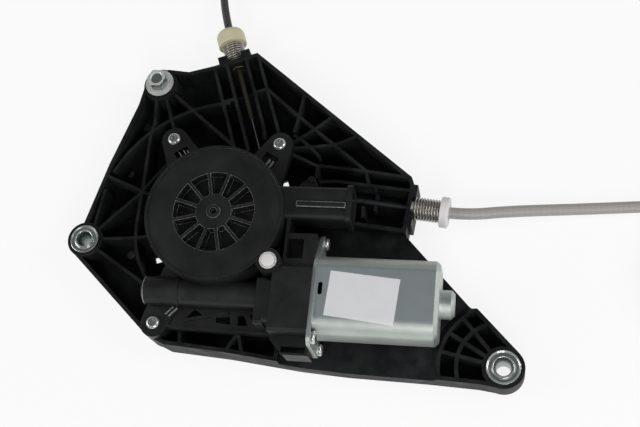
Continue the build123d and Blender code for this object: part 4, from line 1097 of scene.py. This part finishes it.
@dataclass
class CableExit:
    """One sprung cable exit with its ferrule, liner and conduit.

    Attributes:
        name: Which exit: top or right.
        ferrule: Finish of the ferrule.
        liner: Finish of the liner.
        jacket: Finish of the conduit.
        fitting: Finish of the fitting at its far end.
        route_mm: Points of the conduit from inside the ferrule to its ring.
        tail_mm: Points from the ring to the fitting.
        ring_centre_mm: Centre of the ring in plan.
        ring_radius_mm: Mean radius of the ring.
        ring_entry: Where the conduit enters the ring, in degrees round its centre.
        radius_mm: Radius of the conduit.
        exit_mm: Where the conduit leaves the ferrule.
        spring_start_mm: Where the spring stands on the plate.
        heading: Direction of the exit in degrees.
        turns: Turns of the ring.
        points_per_turn: Control points of each turn.
        ring_bulge: How far the control points stand outside the smooth ring, as a factor.
        climb: Where the ring starts to climb on its first turn and how long it climbs, in turns.
        spring_radius_mm: Radius of the spring at the middle of its wire.
        spring_wire_mm: Radius of the wire.
        spring_length_mm: Length of the spring.
        spring_half_turns: Half turns of the spring.
        spring_gap_mm: Air at each end of the spring.
        tie_mm: Thickness of the strap round the ring.
        tie_width_mm: Width of the strap.
    """

    name: str
    ferrule: Finish
    liner: Finish
    jacket: JacketFinish
    fitting: Finish
    route_mm: list[Point]
    tail_mm: list[Point]
    ring_centre_mm: Flat
    ring_radius_mm: float
    ring_entry: float
    radius_mm: float
    exit_mm: Point
    spring_start_mm: Point
    heading: float
    turns: int = 2
    points_per_turn: int = 16
    ring_bulge: float = 1.008
    climb: Flat = (0.72, 0.22)
    spring_radius_mm: float = 5.9
    spring_wire_mm: float = 0.6
    spring_length_mm: float = 14.9
    spring_half_turns: int = 17
    spring_gap_mm: float = 0.05
    tie_mm: float = 0.6
    tie_width_mm: float = 4.0

    def build(self) -> None:
        """Build and dress the exit's pieces."""
        self.build_ferrule()
        dress(frame["nodes"][f"liner_{self.name}"], self.liner)
        dress(frame["nodes"][f"conduit_{self.name}_end"], self.fitting)
        dress(frame["nodes"][f"cable_end_{self.name}"], CABLE_STEEL)
        self.build_spring()
        self.build_conduit()
        log.info("%s cable exit", self.name)

    def build_ferrule(self) -> None:
        """Dress the ferrule, its stem inside the plate coloured near black."""
        ferrule = softened(f"ferrule_{self.name}", (self.ferrule, DARK_STEM_INSIDE_PLATE), 0.6)
        along, start = self.axis()
        for face in ferrule.data.polygons:
            face.material_index = int((face.center - start).dot(along) < 0)

    def axis(self) -> tuple[Vector, Vector]:
        """Direction of the exit, and where its spring stands in metres."""
        along = Vector((cos(radians(self.heading)), sin(radians(self.heading)), 0.0))
        return along, Vector(self.spring_start_mm) * MM

    def build_spring(self) -> None:
        """Wind the round-wire spring and stand it on the exit's axis."""
        along, start = self.axis()
        deselect()
        bpy.ops.mesh.primitive_circle_add(vertices=12, radius=self.spring_wire_mm * MM)
        spring = bpy.context.object
        spring.name = f"tension_spring_{self.name}"
        open_mesh()
        bpy.ops.transform.rotate(value=pi / 2, orient_axis="X", center_override=ORIGIN)
        lift = self.spring_wire_mm + self.spring_gap_mm
        bpy.ops.transform.translate(value=(self.spring_radius_mm * MM, 0.0, lift * MM))
        bpy.ops.object.mode_set(mode="OBJECT")
        coil = spring.modifiers.new("turns", "SCREW")
        coil.axis = "Z"
        coil.angle = pi
        coil.iterations = self.spring_half_turns
        coil.screw_offset = (self.spring_length_mm - 2 * lift) * MM / self.spring_half_turns
        coil.steps = 16
        coil.render_steps = 16
        coil.use_merge_vertices = False
        apply_modifiers(spring)
        open_mesh()
        bpy.ops.mesh.fill_holes(sides=0)
        close_mesh()
        bpy.ops.object.shade_smooth_by_angle(angle=radians(50))
        settle(spring, start, along)
        dress(spring, SPRING_STEEL)
        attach(spring, "carrier")
        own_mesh(spring)
        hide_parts(f"spring_{self.name}")

    def ring_points(self) -> list[Point]:
        """Control points of the ring's turns, the second turn on the first.

        Returns:
            Points in millimetres, clockwise from the ring's entry.
        """
        low = self.radius_mm + 0.1
        high = 3 * self.radius_mm + 0.3
        points = []
        reach = self.ring_radius_mm * self.ring_bulge
        x, y = self.ring_centre_mm
        for index in range(self.turns * self.points_per_turn + 1):
            wound = index / self.points_per_turn
            climbed = min(max((wound - self.climb[0]) / self.climb[1], 0.0), 1.0)
            angle = radians(self.ring_entry - 360 * wound)
            points.append((x + reach * cos(angle), y + reach * sin(angle), low + (high - low) * climbed))
        return points

    def build_tie(self) -> Piece:
        """Strap the ring's turns together, half a turn from its entry.

        Returns:
            The tie.
        """
        round_ring = radians(self.ring_entry - 180)
        reach = self.ring_radius_mm * self.ring_bulge
        centre = Vector((*self.ring_centre_mm, 2 * self.radius_mm + 0.4))
        centre += Vector((cos(round_ring), sin(round_ring), 0.0)) * reach
        half_width = self.radius_mm + self.tie_mm
        deselect()
        bpy.ops.mesh.primitive_circle_add(vertices=40, radius=1.0)
        tie = bpy.context.object
        tie.name = f"coil_tie_{self.name}"
        open_mesh()
        half_height = centre.z - 0.05
        bpy.ops.transform.resize(value=(half_width * MM, half_height * MM, 1.0), center_override=ORIGIN)
        bpy.ops.mesh.extrude_region_move(TRANSFORM_OT_translate={"value": (0.0, 0.0, self.tie_width_mm * MM)})
        bpy.ops.mesh.select_all(action="SELECT")
        bpy.ops.transform.rotate(value=pi / 2, orient_axis="X", center_override=ORIGIN)
        bpy.ops.transform.rotate(value=-round_ring, orient_axis="Z", center_override=ORIGIN)
        close_mesh()
        strap = tie.modifiers.new("strap", "SOLIDIFY")
        strap.thickness = self.tie_mm * MM
        strap.offset = -1.0
        apply_modifiers(tie)
        settle(tie, centre * MM, UP)
        finished(tie, f"{self.name}_conduit", 0.12, CARRIER_STRAP_GREY_AND_SHEEN)
        return tie

    def build_conduit(self) -> None:
        """Lay the conduit along its route, its ring and its tail, as one cord."""
        points = self.route_mm + self.ring_points() + self.tail_mm
        line = smooth_line([(x * MM, y * MM, z * MM) for x, y, z in points])
        conduit = tube_mesh(f"conduit_{self.name}_jacket", line, self.radius_mm * MM, 20)
        dress(conduit, self.jacket)
        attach(conduit, f"{self.name}_conduit")
        nodes = [f"conduit_{self.name}", f"conduit_{self.name}_coil", f"conduit_{self.name}_tail"]
        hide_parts(*nodes)
        self.build_tie().name


def cable_exits() -> list[CableExit]:
    """Describe the two cable exits of the plate.

    Returns:
        The top and the right exit.
    """
    top = CableExit(
        name="top",
        ferrule=CREAM_PLASTIC,
        liner=OLIVE_LINER,
        jacket=BLACK_BRAID,
        fitting=BLACK_FITTING,
        route_mm=[(-13.84, 124.05, 9.0), (-19.46, 139.67, 9.0), (-25.0, 161.5, 5.0), (-27.0, 185.0, 2.6)],
        tail_mm=[(-26.9, 203.0, 7.2), (-27.6, 218.0, 4.4), (-30.2, 236.0, 4.4)],
        ring_centre_mm=(0.6, 194.0),
        ring_radius_mm=27.5,
        ring_entry=180.0,
        radius_mm=2.4,
        exit_mm=(-16.04, 130.16, 9.0),
        spring_start_mm=(-7.44, 106.26, 9.0),
        heading=109.8,
    )
    right = CableExit(
        name="right",
        ferrule=WHITE_PLASTIC,
        liner=BLACK_LINER,
        jacket=GREY_JACKET,
        fitting=GREY_FITTING,
        route_mm=[
            (117.93, 16.56, 12.2), (133.34, 14.92, 12.2), (157.0, 19.0, 10.0), (200.0, 24.0, 4.4),
            (238.0, 27.6, 3.3), (262.0, 27.0, 3.3),
        ],
        tail_mm=[(284.0, 26.0, 9.0), (302.0, 24.6, 5.2), (326.0, 19.6, 5.2)],
        ring_centre_mm=(272.0, -10.0),
        ring_radius_mm=36.0,
        ring_entry=90.0,
        radius_mm=3.2,
        exit_mm=(124.39, 15.87, 12.2),
        spring_start_mm=(104.7, 17.98, 12.2),
        heading=-6.1,
    )
    return [top, right]


def main() -> None:
    """Build the studio and every sub-assembly."""
    bpy.context.scene.view_settings.view_transform = "Standard"
    deselect()
    Studio().build()
    for exit_part in cable_exits():
        exit_part.build()
    CarrierPlate().build()
    GearUnit().build()
    Motor().build()


if __name__ == "__main__":
    main()
